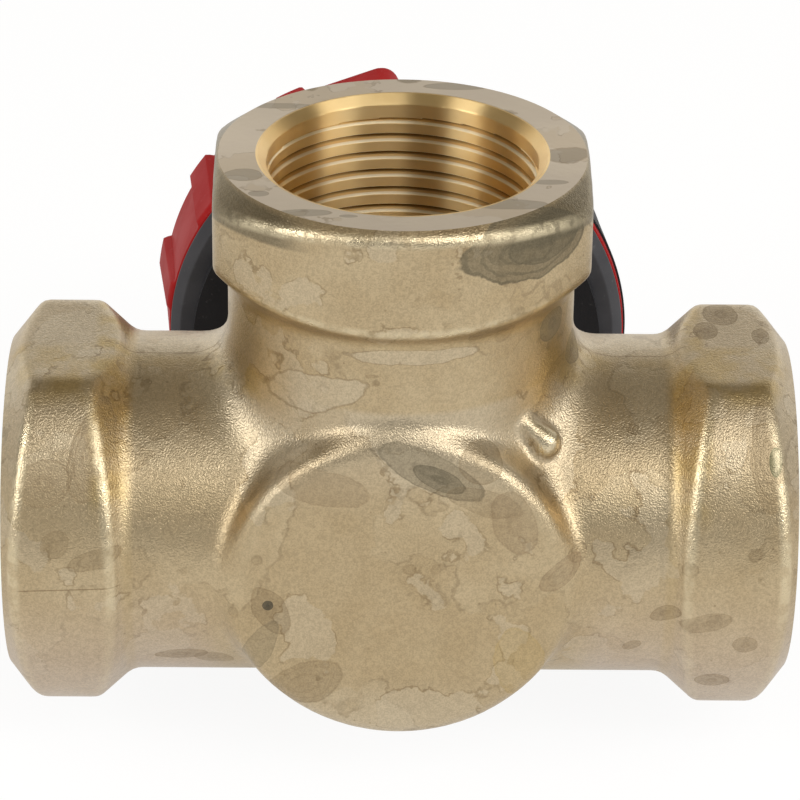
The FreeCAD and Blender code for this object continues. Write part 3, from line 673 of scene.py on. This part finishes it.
# the larger stains: centre and reach in millimetres, turn, rings, strength and colour
STAINS = [
    ((10.4, -12.8, 33.2), (6.2, 7, 2.9), 0, 3, 0.7, OLIVE_GREY),
    ((12.3, -12.5, 33.6), (3.3, 5, 1.9), 0.15, 1, 0.6, OLIVE_GREY),
    ((8.9, -14.5, 33.6), (1.7, 4, 1.3), 0, 1, 0.3, OLIVE_GREY),
    ((-27.7, -13, 12), (1.9, 9, 3.9), -0.35, 3, 0.35, RIM_BROWN),
    ((-31.9, -14.6, 9.8), (2.3, 5, 1.9), 0.3, 1, 0.3, RIM_BROWN),
    ((-31, -16.4, 4.6), (1.4, 5, 1.2), 0.6, 1, 0.3, RIM_BROWN),
    ((33, -13, 11.8), (1.5, 9, 4.4), 0.1, 3, 0.35, RIM_BROWN),
    ((33.7, -13.3, 11.8), (0.6, 3, 1.1), 0, 1, 0.6, (0.1, 0.13, 0.07, 1)),
    ((2.7, -17, 12.7), (5.3, 4, 1.7), -0.5, 1, 0.45, OLIVE_GREY),
    ((3.4, -17.4, 12), (2.6, 4, 1), -0.5, 1, 0.55, OLIVE_GREY),
    ((7.2, -16.6, 13.4), (2, 3, 1.9), 0.3, 1, 0.35, RIM_BROWN),
    ((7.6, -17.4, 9.6), (3.4, 3, 1.3), -0.3, 1, 0.25, RIM_BROWN),
    ((-11.6, -17.2, -1.8), (1.5, 3, 2.6), 0.5, 1, 0.35, RIM_BROWN),
    ((-11.9, -17.4, -1.2), (0.5, 1.5, 0.5), 0, 1, 0.8, (0.06, 0.06, 0.05, 1)),
    ((-8.6, -17.2, -9.6), (3.6, 3, 2.2), 0.4, 3, 0.3, RIM_BROWN),
    ((9, -15, 26), (3.2, 3, 0.9), 0.3, 1, 0.35, RIM_BROWN),
    ((13.4, -8.3, 23.1), (1.6, 2.2, 1.5), 0, 1, 0.5, OLIVE_GREY),
    ((15.5, -3.3, 18.3), (1.4, 2.2, 1.4), 0, 1, 0.45, OLIVE_GREY),
    ((14.3, -6.8, 17.2), (2.6, 3.6, 1.7), 0.2, 2, 0.25, RIM_BROWN),
    ((24.3, -15.4, -2.6), (1.5, 3, 0.8), 0.4, 1, 0.4, RIM_BROWN),
    ((28, -16.4, -3), (2.4, 3, 1), 0.2, 1, 0.3, RIM_BROWN),
    ((-7.1, -17.1, 11), (4.6, 4, 1.7), -0.2, 0, 0.3, BROWN_SMEAR),
    ((10.2, -17.1, 7.4), (1.9, 4, 3.3), 0.3, 1, 0.35, BROWN_SMEAR),
    ((14.5, -17.1, 2.2), (2.4, 4, 1.1), 0.75, 2, 0.4, BROWN_SMEAR),
    ((-12.7, -17.1, -5.8), (1.2, 4, 3.2), -0.45, 0, 0.3, OLIVE_GREY),
    ((11.1, -17.1, -7.5), (2.3, 4, 4), 0.2, 0, 0.3, OCHRE_BRASS),
    ((-27.4, -16.4, 3.2), (2.6, 4, 0.9), 0.3, 2, 0.35, RIM_BROWN),
    ((-20, -13, -9), (2.4, 4, 0.8), 0.1, 1, 0.4, RIM_BROWN),
    ((-17, -12.6, -9.6), (1.8, 4, 0.9), -0.2, 1, 0.35, RIM_BROWN),
    ((29.9, 6, 16.9), (1.6, 2.2, 2), 0, 1, 0.4, RIM_BROWN),
    ((28.3, 2.6, 16.9), (1.1, 1.7, 2), 0, 1, 0.4, RIM_BROWN),
    ((33.3, 1.5, 16.9), (0.8, 1.5, 2), 0, 1, 0.4, RIM_BROWN),
    ((21.4, -14.2, -7), (0.9, 3, 0.6), 0.5, 0, 0.4, RIM_BROWN),
    ((29, -13.9, -10.9), (1.6, 3, 1), 0, 1, 0.4, RIM_BROWN),
    ((31.6, -16.2, -5.6), (1.1, 3, 1), 0, 1, 0.35, RIM_BROWN),
]
tarnish = 0.0
for centre, reach_mm, turn_angle, rings, strength, tint in STAINS:
    stain = wire.group(ring_stain, Place=place, Centre=centre, Reach=reach_mm,
                       Turn=turn_angle, Rings=rings)
    drawn = wire.times(wire.largest(stain["Rim"], stain["Rings"]), min(1.25 * strength, 0.8))
    cover = wire.largest(wire.times(stain["Inside"], strength * 0.9), drawn)
    wire.paint(tint, 1, cover)
    tarnish = wire.largest(cover, tarnish)

# light patches washed onto the front of the branch neck
for centre, reach_mm, turn_angle in (((-8.0, -13.6, 18.9), (4.8, 6.0, 1.9), 0.25),
                                     ((1.0, -15.4, 23.5), (6.0, 4.0, 0.8), 0.0)):
    patch = wire.group(ring_stain, Place=place, Centre=centre, Reach=reach_mm,
                       Turn=turn_angle, Rings=0, Raggedness=0.8)
    wire.mark(patch, PALE_BRASS, 0.55, 0.45)

# painted dark reflection on the sloped corners under the branch mouth, the trimmed flash line and a
# lap in the forging
radius = wire.math("SQRT", wire.math("ADD", wire.times(x, x), wire.times(y, y)))
wire.paint(OLIVE_GREY, 0.75, wire.step(radius, 16.2, 16.9), wire.band(z, 34.8, 1.3, 0.4),
           wire.step(side, 7.5, 11.5))
wire.paint(RIM_BROWN, 0.6, wire.band(y, -0.6, 0.04, 0.06), wire.band(side, 21, 5, 0.3),
           wire.step(z, 14, 15))
lap = wire.math("SUBTRACT", z, wire.line(x, 0.04, 1.4))
wire.paint(RIM_BROWN, 0.7, wire.band(lap, 0, 0.03, 0.07), wire.band(x, -29.9, 4.4, 0.4),
           wire.step(y, -10, -9, 1, 0))
wire.paint(RIM_BROWN, 0.5, grain["Pits"])
wire.colour = wire.mix(1, wire.colour, wire.line(grain["Speckle"], 0.22, 0.88), "MULTIPLY")

# bare metal where the edges wear, with a painted highlight that is strongest on the front and upper
# edges, where the lamps fall; brown in tight hollows
wear = wire.attribute("wear")
rubbed = wire.step(wire.noise(place, 0.8, 3), 0.36, 0.56, 0.35)
hollow = wire.step(wear, -0.5, -0.12, 1, 0)
by_shoulder = wire.step(wire.largest(side, z), 23.5, 24.5)
off_boss = wire.largest(wire.step(y, -15.4, -14.6, 0.25, 1), by_shoulder)
in_front = wire.step(y, -12.5, -8.5, 1, 0.1)
low_down = wire.largest(wire.step(z, -8, 2), 0.3)
# edge wear mixed with a painted highlight, kept mostly to the front and upper edges
worn_and_highlit = wire.times(wire.step(wear, 0.12, 0.5), rubbed, off_boss, in_front, low_down)
wire.paint(OCHRE_BRASS, 0.5, hollow, by_shoulder)
wire.paint(BARE_AND_HIGHLIT_BRASS, 0.6, worn_and_highlit)
rough = wire.line(tarnish, 0.25, wire.line(grain["Mottle"], 0.06, 0.33))
finished(wire, wire.line(worn_and_highlit, -0.08, rough), grain["Height"], 0.06, 1)

FACE_BRASS = (0.56, 0.475, 0.36, 1)
FACE_PINK = (0.5, 0.42, 0.33, 1)
FACE_STAINS = [((-14.2, -5, 36), (1.7, 1.3, 2)), ((-12.7, -8.8, 36), (0.9, 0.6, 2)),
               ((-8.6, -12.6, 36), (2.4, 0.7, 2)), ((-4.8, -13.2, 36), (0.8, 0.3, 2)),
               ((9.1, -10.6, 36), (3.6, 1, 2)), ((13, -6, 36), (1.6, 0.5, 2)),
               ((5, 14.6, 36), (2.9, 0.8, 2)), ((-11, 9.9, 36), (3, 0.6, 2))]


def turned(name, axis, painted, roughness, along_marks, depth_mm):
    """Turned brass whose fine tool marks run round an axis and streak its highlights."""
    material, wire, place, grain = surface(name, 1.5)
    round_axis = wire.node("ShaderNodeTangent", direction_type="RADIAL", axis=axis).outputs[0]
    wire.give(wire.shader, {"Tangent": round_axis, "Anisotropic": along_marks,
                            "Anisotropic Rotation": 0.25})
    dulled = painted(wire, place, grain)
    finished(wire, wire.line(dulled, 0.15, roughness), grain["Height"], depth_mm, 1)
    return material


def face_colour(wire, place, grain):
    """Paint a turned port face with its tide and water marks."""
    marks = wire.group(water_marks, Place=place, Spacing=4.5, Share=0.3, Raggedness=0.6)
    tide = wire.group(tide_marks, Place=place, Size=7, Level=0.54)
    wire.colour = FACE_BRASS
    wire.paint(FACE_PINK, 0.4, grain["Mottle"])
    wire.mark(tide, BROWN_BRASS, 0.3, 0.5)
    wire.mark(marks, OLIVE_GREY, 0.3, 0.45)
    for centre, reach_mm in FACE_STAINS:
        stain = wire.group(ring_stain, Place=place, Centre=centre, Reach=reach_mm, Rings=0)
        wire.mark(stain, OLIVE_GREY, 0.45, 0.4)
    return marks["Inside"]


def bore_colour(wire, place, grain):
    """Golden brass with painted shade in the thread's roots and a painted highlight along its crest
    edges.
    """
    groove = wire.attribute("groove")
    wire.colour = (0.86, 0.62, 0.28, 1)
    wire.paint((0.72, 0.47, 0.17, 1), 0.5, grain["Mottle"])
    wire.paint((0.16, 0.09, 0.03, 1), 0.6, wire.step(groove, 0.55, 0.9))
    wire.paint((0.97, 0.88, 0.66, 1), 0.85, wire.band(groove, 0.2, 0.12, 0.1))
    return grain["Pits"]


bright = turned("turned_face", "Z", face_colour, 0.3, 0.5, 0.01)
golden = turned("turned_bore", "Y", bore_colour, 0.3, 0.5, 0.008)
for material in (brass, bright, golden):
    body_mesh.materials.append(material)
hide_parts("valve_body")
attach(forged_body, "valve")

# ---- pipe threads ----------------
# Each port has a 55 degree pipe thread with flat crests, cut by a single point so
# that it shines golden. It belongs to the body; here each is a sleeve on the bore.
THREAD_PITCH = 1.814
THREAD_CREST = 12.1
THREAD_ROOT = 12.95
SLEEVE_RADIUS = 13.24
SLEEVE_START = 21.6
SLEEVE_END = 35.99
LEAD_IN_START = 33.8
LEAD_IN_RADIUS = 12.25
BEVEL = 0.8
CREST_FLAT = 1.0
GROOVE_ROUNDING = 0.05
ROWS_PER_TURN = 20
START_PHASE = 0.3
RUN_OUT_SLOPE = 1.2


def thread_radius(phase, along):
    """Inner radius at a share of the pitch and a height along the port."""
    flank = (THREAD_PITCH - CREST_FLAT) / 2 - GROOVE_ROUNDING
    reach = np.abs(phase - 0.5) * THREAD_PITCH - CREST_FLAT / 2
    height = 1 - np.clip(reach / flank, 0, 1)
    radius = THREAD_ROOT - (THREAD_ROOT - THREAD_CREST) * height
    bevel = LEAD_IN_RADIUS + BEVEL - (SLEEVE_END - along)
    run_out = THREAD_ROOT - RUN_OUT_SLOPE * (along - SLEEVE_START)
    radius = np.where(along > LEAD_IN_START, LEAD_IN_RADIUS, radius)
    return np.maximum(radius, np.maximum(bevel, run_out))


def smoothed(mesh, sharp_angle):
    """Merge doubles, turn the faces outwards and keep edges past an angle sharp."""
    bm = bmesh.new()
    bm.from_mesh(mesh)
    bmesh.ops.remove_doubles(bm, verts=bm.verts, dist=1e-7)
    bmesh.ops.dissolve_degenerate(bm, dist=1e-7, edges=bm.edges)
    bmesh.ops.recalc_face_normals(bm, faces=bm.faces)
    for face in bm.faces:
        face.smooth = True
    for edge in bm.edges:
        if edge.calc_face_angle(0.0) > sharp_angle:
            edge.smooth = False
    bm.to_mesh(mesh)
    bm.free()


def thread_sleeve(name, direction):
    """Closed sleeve about a port axis whose inside is the thread."""
    columns = 216
    turns = (SLEEVE_END - SLEEVE_START) / THREAD_PITCH + 2
    rows = int(turns * ROWS_PER_TURN)
    angle = 2 * np.pi * np.arange(columns) / columns
    row = np.arange(rows)[:, None] - ROWS_PER_TURN
    along = SLEEVE_START + THREAD_PITCH * (row / ROWS_PER_TURN + angle[None, :] / (2 * np.pi))
    phase = (row / ROWS_PER_TURN + START_PHASE) % 1.0 + 0 * along
    along = np.clip(along, SLEEVE_START, SLEEVE_END)
    radius = thread_radius(phase, along)
    along = np.pad(along, ((1, 1), (0, 0)))
    along[0], along[-1] = SLEEVE_START, SLEEVE_END
    radius = np.pad(radius, ((1, 1), (0, 0)), constant_values=SLEEVE_RADIUS)
    frame_of = np.array([UP_STEM, direction.cross(UP_STEM), direction])
    points = np.stack([radius * np.cos(angle), radius * np.sin(angle), along], -1)
    points = points.reshape(-1, 3) @ frame_of
    index = np.arange(len(points)).reshape(-1, columns)
    after = np.roll(index, -1, 1)
    climbed = np.clip(np.arange(rows) + ROWS_PER_TURN, 0, rows - 1) + 1
    after[1:-1, -1] = index[climbed, 0]
    quads = np.stack([index, np.roll(index, -1, 0), np.roll(after, -1, 0), after], -1)
    mesh = as_mesh(name, points, quads.reshape(-1, 4))
    depth = (radius.ravel() - THREAD_CREST) / (THREAD_ROOT - THREAD_CREST)
    depth = np.where(points @ np.array(direction) < LEAD_IN_START, depth, 0.0)
    groove = mesh.attributes.new("groove", "FLOAT", "POINT")
    groove.data.foreach_set("value", depth.astype(np.float32))
    smoothed(mesh, 0.6)
    axis = "Z" if direction.z else "X"
    mesh.materials.append(turned("turned_" + name, axis, bore_colour, 0.38, 0.98, 0.004))
    sleeve = new_object(name, mesh)
    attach(sleeve, "valve")


for direction, name in zip(PORTS, ("right_thread", "left_thread", "branch_thread")):
    thread_sleeve(name, direction)

# ---- pointer ring ----------------
# Red moulded ring clipped round the knob: a thin band all the way round, widening
# into a flared crescent with three grip tabs and a swelling pointer lobe.


def ends(node):
    """A node's lowest and highest place along the stem, in millimetres."""
    low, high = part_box(node)
    return low[1] / MM, high[1] / MM


RING_LOW, RING_HIGH = ends("pointer_ring")
RING_BORE = 21.62
BAND_RADIUS = 23.05
BAND_HEIGHT = 1.0
FLARE_RADIUS = 23.9
CRESCENT_START = 88.0
CRESCENT_END = 208.0
TABS = (117.0, 146.0, 170.6)
TAB_HALF = 3.4
TAB_EDGE = 0.9
TAB_RISE = 0.75
LOBE_FOOT = (23.9, 112.3)
LOBE_CREST = (24.8, 95.0)
LOBE_BEND = 94.0
LOBE_DROP = 2.2
LOBE_END = 89.6
RING_EDGE = 0.35


def eased(value, low, high):
    share = min(max((value - low) / (high - low), 0.0), 1.0)
    return share * share * (3 - 2 * share)


def polar(radius, angle):
    return radius * math.cos(math.radians(angle)), radius * math.sin(math.radians(angle))


def swept(name, section, angles):
    """Closed ring about the stem axis; section(angle) lists its (radius, height) points."""
    rows = []
    for angle in angles:
        around = [polar(radius, angle) + (height,) for radius, height in section(angle)]
        rows.append([(x, height, z) for x, z, height in around])
    points = np.array(rows)
    count, around = points.shape[:2]
    index = np.arange(count * around).reshape(count, around)
    after = np.roll(index, -1, 0)
    quads = np.stack([index, np.roll(index, -1, 1), np.roll(after, -1, 1), after], -1)
    mesh = as_mesh(name, points.reshape(-1, 3), quads.reshape(-1, 4))
    smoothed(mesh, 0.7)
    return new_object(name, mesh)


def softened(corners, rounding, steps=4):
    """The corners of a closed section with each one rounded by an arc."""
    out = []
    corners = [Vector(corner) for corner in corners]
    for last, here, following in zip(corners[-1:] + corners, corners, corners[1:] + corners[:1]):
        before = last - here
        after = following - here
        reach_of = min(rounding, before.length * 0.45, after.length * 0.45)
        start = here + before.normalized() * reach_of
        end = here + after.normalized() * reach_of
        for step in range(steps + 1):
            share = step / steps
            out.append(tuple(start.lerp(here, share).lerp(here.lerp(end, share), share)))
    return out


def ring_section(angle):
    on_crescent = CRESCENT_START <= angle <= CRESCENT_END
    top = RING_HIGH if on_crescent else RING_LOW + BAND_HEIGHT
    tab = max(eased(TAB_HALF + TAB_EDGE - abs(angle - middle), 0.0, TAB_EDGE) for middle in TABS)
    foot_x, foot_z = polar(*LOBE_FOOT)
    crest_x, crest_z = polar(*LOBE_CREST)
    across_x, across_z = crest_x - foot_x, crest_z - foot_z
    out_x, out_z = polar(1.0, angle)
    chord = (foot_x * across_z - foot_z * across_x) / (out_x * across_z - out_z * across_x)
    lobe = min(max(chord - FLARE_RADIUS, 0.0), LOBE_CREST[0] - FLARE_RADIUS)
    if angle > LOBE_FOOT[1]:
        lobe = 0.0
    short = min(max(LOBE_BEND - angle, 0.0) / (LOBE_BEND - LOBE_END), 1.0)
    lobe -= LOBE_DROP * (1 - math.sqrt(1 - short * short))
    rise = (TAB_RISE * tab + lobe) if on_crescent else 0.0
    low = RING_LOW + 0.5 * BAND_HEIGHT
    share = (top - low) / (RING_HIGH - low)
    foot = BAND_RADIUS + 0.5 * rise
    head = BAND_RADIUS + (FLARE_RADIUS - BAND_RADIUS) * share + rise
    return softened([(RING_BORE, RING_LOW), (BAND_RADIUS, RING_LOW), (foot, low),
                     (head, top), (RING_BORE, top)], RING_EDGE)


fine_angles = sorted(set(np.round(np.arange(0, 360, 0.6), 3).tolist()
                         + [CRESCENT_START - 0.05, CRESCENT_END + 0.05]))
pointer_ring = swept("pointer_ring_skin", ring_section, fine_angles)


def plastic(name, colour, worn_colour, roughness, depth_mm):
    """Moulded plastic: fine spark-eroded grain, slow shade changes and handling wear."""
    material, wire, place, grain = surface(name, 5.0)
    wire.colour = colour
    wire.paint(worn_colour, 0.5, grain["Mottle"])
    wire.paint(HANDLING_DUST, 0.12, wire.step(wire.noise(place, 1.7, 4), 0.62, 0.8))
    wire.give(wire.shader, {"Specular IOR Level": 0.15})
    finished(wire, wire.line(grain["Mottle"], 0.1, roughness), grain["Height"], depth_mm)
    return material


HANDLING_DUST = (0.35, 0.34, 0.33, 1)
red_plastic = plastic("red_plastic", (0.38, 0.007, 0.007, 1), (0.31, 0.007, 0.007, 1), 0.5, 0.01)
pointer_ring.data.materials.append(red_plastic)
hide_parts("pointer_ring")
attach(pointer_ring, "knob")

# ---- knob ----------------
# Black moulded hand knob, hollow at the back, with a seat for the pointer ring, a
# bevelled rear ring and a round cap over the screw that clamps it to the stem.
KNOB_FRONT = ends("knob_body")[1]
KNOB_RADIUS = 23.28
KNOB_TAPER = 0.075
KNOB_FRONT_ROUNDING = 5.6
KNOB_BORE = 20.3
KNOB_FRONT_WALL = 3.4
SEAT_RADIUS = 21.56
INSERT_BORE = 6.42
INSERT_LOW, INSERT_HIGH = ends("knob_insert")
STEM_HEAD_BORE = 4.25
SCREW_SEAT = ends("spring_washer")[0]
CAP_BORE = 6.02
HUB_RADIUS = 9.0
STOP_COLLAR_RADIUS = 13.0
STOP_SLOT_HALF_ANGLE = 52.1
STOP_SLOT_HIGH = ends("stop_pin")[1] + 0.3


def knob_section(angle):
    on_crescent = CRESCENT_START <= angle <= CRESCENT_END
    slotted = abs(angle - 270.0) < STOP_SLOT_HALF_ANGLE
    band_high = RING_LOW + BAND_HEIGHT
    low = RING_HIGH if on_crescent else band_high
    front_radius, slope_radius = [KNOB_RADIUS - KNOB_TAPER * (height - band_high)
                                  for height in (KNOB_FRONT, low)]
    shell = [(KNOB_BORE, RING_LOW), (SEAT_RADIUS, RING_LOW), (SEAT_RADIUS, low), (slope_radius, low)]
    front = [(front_radius - KNOB_FRONT_ROUNDING * (1 - math.cos(bend)),
              KNOB_FRONT - KNOB_FRONT_ROUNDING * (1 - math.sin(bend)))
             for bend in [math.radians(9 * step) for step in range(11)]]
    middle = [(CAP_BORE, KNOB_FRONT), (CAP_BORE, SCREW_SEAT), (STEM_HEAD_BORE, SCREW_SEAT),
              (STEM_HEAD_BORE, INSERT_HIGH), (INSERT_BORE, INSERT_HIGH),
              (INSERT_BORE, INSERT_LOW), (HUB_RADIUS, INSERT_LOW)]
    stop_low = STOP_SLOT_HIGH if slotted else INSERT_LOW
    inner = [(HUB_RADIUS, stop_low), (STOP_COLLAR_RADIUS, stop_low),
             (STOP_COLLAR_RADIUS, KNOB_FRONT - KNOB_FRONT_WALL),
             (KNOB_BORE, KNOB_FRONT - KNOB_FRONT_WALL)]
    return shell + front + middle + inner


knob = swept("knob_skin", knob_section, fine_angles)
black_plastic = plastic("black_plastic", (0.02, 0.02, 0.023, 1), (0.03, 0.03, 0.034, 1),
                        0.5, 0.03)
knob.data.materials.append(black_plastic)
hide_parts("knob_body")
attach(knob, "knob")

REAR_LOW, REAR_HIGH = ends("knob_rear_ring")
REAR_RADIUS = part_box("knob_rear_ring")[1][0] / MM
REAR_BEVEL = 1.0
REAR_RIM = 0.32
REAR_EDGE = 0.15
REAR_BORE = 19.6


def rear_section(angle):
    return softened([(REAR_BORE, REAR_LOW), (REAR_RADIUS - REAR_BEVEL, REAR_LOW),
                     (REAR_RADIUS, REAR_HIGH - REAR_RIM), (REAR_RADIUS, REAR_HIGH),
                     (REAR_BORE, REAR_HIGH)], REAR_EDGE)


rear_ring = swept("rear_ring_skin", rear_section, fine_angles)
grey_plastic = plastic("grey_plastic", (0.055, 0.055, 0.062, 1), (0.085, 0.085, 0.092, 1),
                       0.38, 0.01)
rear_ring.data.materials.append(grey_plastic)
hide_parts("knob_rear_ring")
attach(rear_ring, "knob")

# ---- cover, stem and inner parts ----------------
# The cover is turned and drilled from brass bar, the stem and rotor are brass too;
# the bush and washer are moulded, the rings are rubber, the screws and pins steel.
steel, wire, place, grain = surface("screw_steel", 4.0)
marks = wire.group(water_marks, Place=place, Spacing=1.6, Share=0.2)
wire.colour = (0.46, 0.46, 0.47, 1)
wire.paint((0.36, 0.35, 0.34, 1), 0.5, grain["Mottle"])
wire.paint((0.2, 0.16, 0.12, 1), 0.4, marks["Rim"])
finished(wire, wire.line(grain["Mottle"], 0.12, 0.28), grain["Height"], 0.01, 1)

rubber, wire, place, grain = surface("seal_rubber", 6.0)
wire.colour = (0.012, 0.012, 0.012, 1)
wire.paint((0.022, 0.021, 0.02, 1), 1, grain["Mottle"])
finished(wire, wire.line(grain["Height"], 0.2, 0.5), grain["Height"], 0.01)

TOOL_FEED = 0.25
turned_bar, wire, place, grain = surface("turned_brass", 2.0)
bar_x, bar_y, bar_z = wire.parts(place)
bar_radius = wire.math("SQRT", wire.math("ADD", wire.times(bar_x, bar_x), wire.times(bar_z, bar_z)))
groove = wire.times(wire.math("ADD", bar_radius, bar_y), 2 * math.pi / TOOL_FEED)
ridged = wire.line(wire.math("SINE", groove), 0.3, grain["Height"])
marks = wire.group(water_marks, Place=place, Spacing=3.2, Share=0.3, Raggedness=0.5)
wire.colour = (0.62, 0.5, 0.3, 1)
wire.paint((0.5, 0.39, 0.22, 1), 0.4, grain["Mottle"])
wire.paint(RIM_BROWN, 0.4, marks["Rim"])
finished(wire, wire.line(grain["Mottle"], 0.1, 0.25), ridged, 0.008, 1)

white_plastic = plastic("white_plastic", (0.7, 0.69, 0.66, 1), (0.62, 0.61, 0.58, 1), 0.4, 0.01)

FINISHES = {
    turned_bar: ("cover", "stem", "rotor", "knob_insert"),
    steel: ("rotor_pin", "stop_pin", "retaining_clip", "spring_washer", "knob_screw"),
    rubber: ("cover_o_ring", "bush_o_ring", "stem_o_ring_lower", "stem_o_ring_upper"),
    white_plastic: ("stem_bush", "thrust_washer"),
    black_plastic: ("knob_cap", "dial_plate"),
}
for material, names in FINISHES.items():
    for name in names:
        node_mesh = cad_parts[name].data
        node_mesh.materials.clear()
        node_mesh.materials.append(material)

# ---- cover screws ----------------
# Four zinc plated socket head cap screws hold the cover to the flange. One head is
# built here, knurled and with a hexagon socket, and Geometry Nodes set it at the corners.
screw_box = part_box("cover_screws")
HEAD_RADIUS = 3.4
SHANK_END, HEAD_TOP = ends("cover_screws")
HEAD_HEIGHT = 3.2
SHANK_RADIUS = 1.98
SOCKET_FLAT = 1.5
KNURLS = 36
KNURL_DEPTH = 0.05


def screw_head_mesh():
    """One screw, its axis up, its head's underside at the origin."""
    bm = bmesh.new()
    columns = KNURLS * 2
    shank = SHANK_END - (HEAD_TOP - HEAD_HEIGHT)
    levels = [(0.0, shank, 0), (SHANK_RADIUS, shank, 0), (SHANK_RADIUS, 0.0, 0),
              (HEAD_RADIUS - 0.15, 0.0, 0), (HEAD_RADIUS - KNURL_DEPTH, 0.15, 1),
              (HEAD_RADIUS - KNURL_DEPTH, HEAD_HEIGHT - 0.45, 1), (HEAD_RADIUS - 0.3, HEAD_HEIGHT, 0),
              (SOCKET_FLAT, HEAD_HEIGHT, 2), (SOCKET_FLAT, HEAD_HEIGHT / 2, 2),
              (0.0, HEAD_HEIGHT / 2, 0)]
    rings = []
    for radius, height, form in levels:
        ring = []
        for index in range(columns):
            angle = 2 * math.pi * index / columns
            reach_of = radius
            if form == 1:
                reach_of += KNURL_DEPTH * (-1) ** index
            if form == 2:
                reach_of /= math.cos((angle + math.pi / 6) % (math.pi / 3) - math.pi / 6)
            ring.append(bm.verts.new((reach_of * math.cos(angle) * MM, height * MM,
                                      reach_of * math.sin(angle) * MM)))
        rings.append(ring)
    for first, second in zip(rings, rings[1:]):
        for index in range(columns):
            after = (index + 1) % columns
            bm.faces.new((first[index], first[after], second[after], second[index]))
    bmesh.ops.remove_doubles(bm, verts=bm.verts, dist=1e-7)
    bmesh.ops.recalc_face_normals(bm, faces=bm.faces)
    mesh = bpy.data.meshes.new("screw_pattern")
    bm.to_mesh(mesh)
    bm.free()
    return mesh


pattern = new_object("screw_pattern", screw_head_mesh())
corner_tree = bpy.data.node_groups.new("screws_at_corners", "GeometryNodeTree")
sockets = {}
for label, way, kind in (("Geometry", "INPUT", "Geometry"), ("Screw", "INPUT", "Object"),
                         ("Span", "INPUT", "Float"), ("Metal", "INPUT", "Material"),
                         ("Placed", "OUTPUT", "Geometry")):
    sockets[label] = corner_tree.interface.new_socket(
        label, in_out=way, socket_type="NodeSocket" + kind).identifier
wire = Wiring(corner_tree)
given = wire.node("NodeGroupInput").outputs
corners = wire.node("GeometryNodeMeshGrid", {"Size X": given["Span"], "Size Y": given["Span"],
                                             "Vertices X": 2, "Vertices Y": 2})
upright_turn = wire.node("GeometryNodeTransform", {"Geometry": corners.outputs["Mesh"],
                                                   "Rotation": (math.pi / 2, 0, 0)})
picked = wire.node("GeometryNodeObjectInfo", {"Object": given["Screw"]})
placed = wire.node("GeometryNodeInstanceOnPoints", {"Points": upright_turn.outputs[0],
                                                    "Instance": picked.outputs["Geometry"]})
real = wire.node("GeometryNodeRealizeInstances", {0: placed.outputs[0]})
painted = wire.node("GeometryNodeSetMaterial", {"Geometry": real.outputs[0],
                                                "Material": given["Metal"]})
wire.node("NodeGroupOutput", {0: painted.outputs[0]})

carrier = new_object("cover_screw_carrier", bpy.data.meshes.new("cover_screw_carrier"))
modifier = carrier.modifiers.new("screws", "NODES")
modifier.node_group = corner_tree
modifier[sockets["Screw"]] = pattern
modifier[sockets["Span"]] = (screw_box[1][0] - screw_box[0][0]) - 2 * HEAD_RADIUS * MM
modifier[sockets["Metal"]] = steel
bpy.context.view_layer.update()
evaluated = carrier.evaluated_get(bpy.context.evaluated_depsgraph_get())
screws_mesh = bpy.data.meshes.new_from_object(evaluated)
screws_mesh.transform(Matrix.Translation((0, (HEAD_TOP - HEAD_HEIGHT) * MM, 0)))
cover_screws = new_object("cover_screw_set", screws_mesh)
bpy.data.objects.remove(carrier)
bpy.data.objects.remove(pattern)
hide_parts("cover_screws")
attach(cover_screws, "valve")
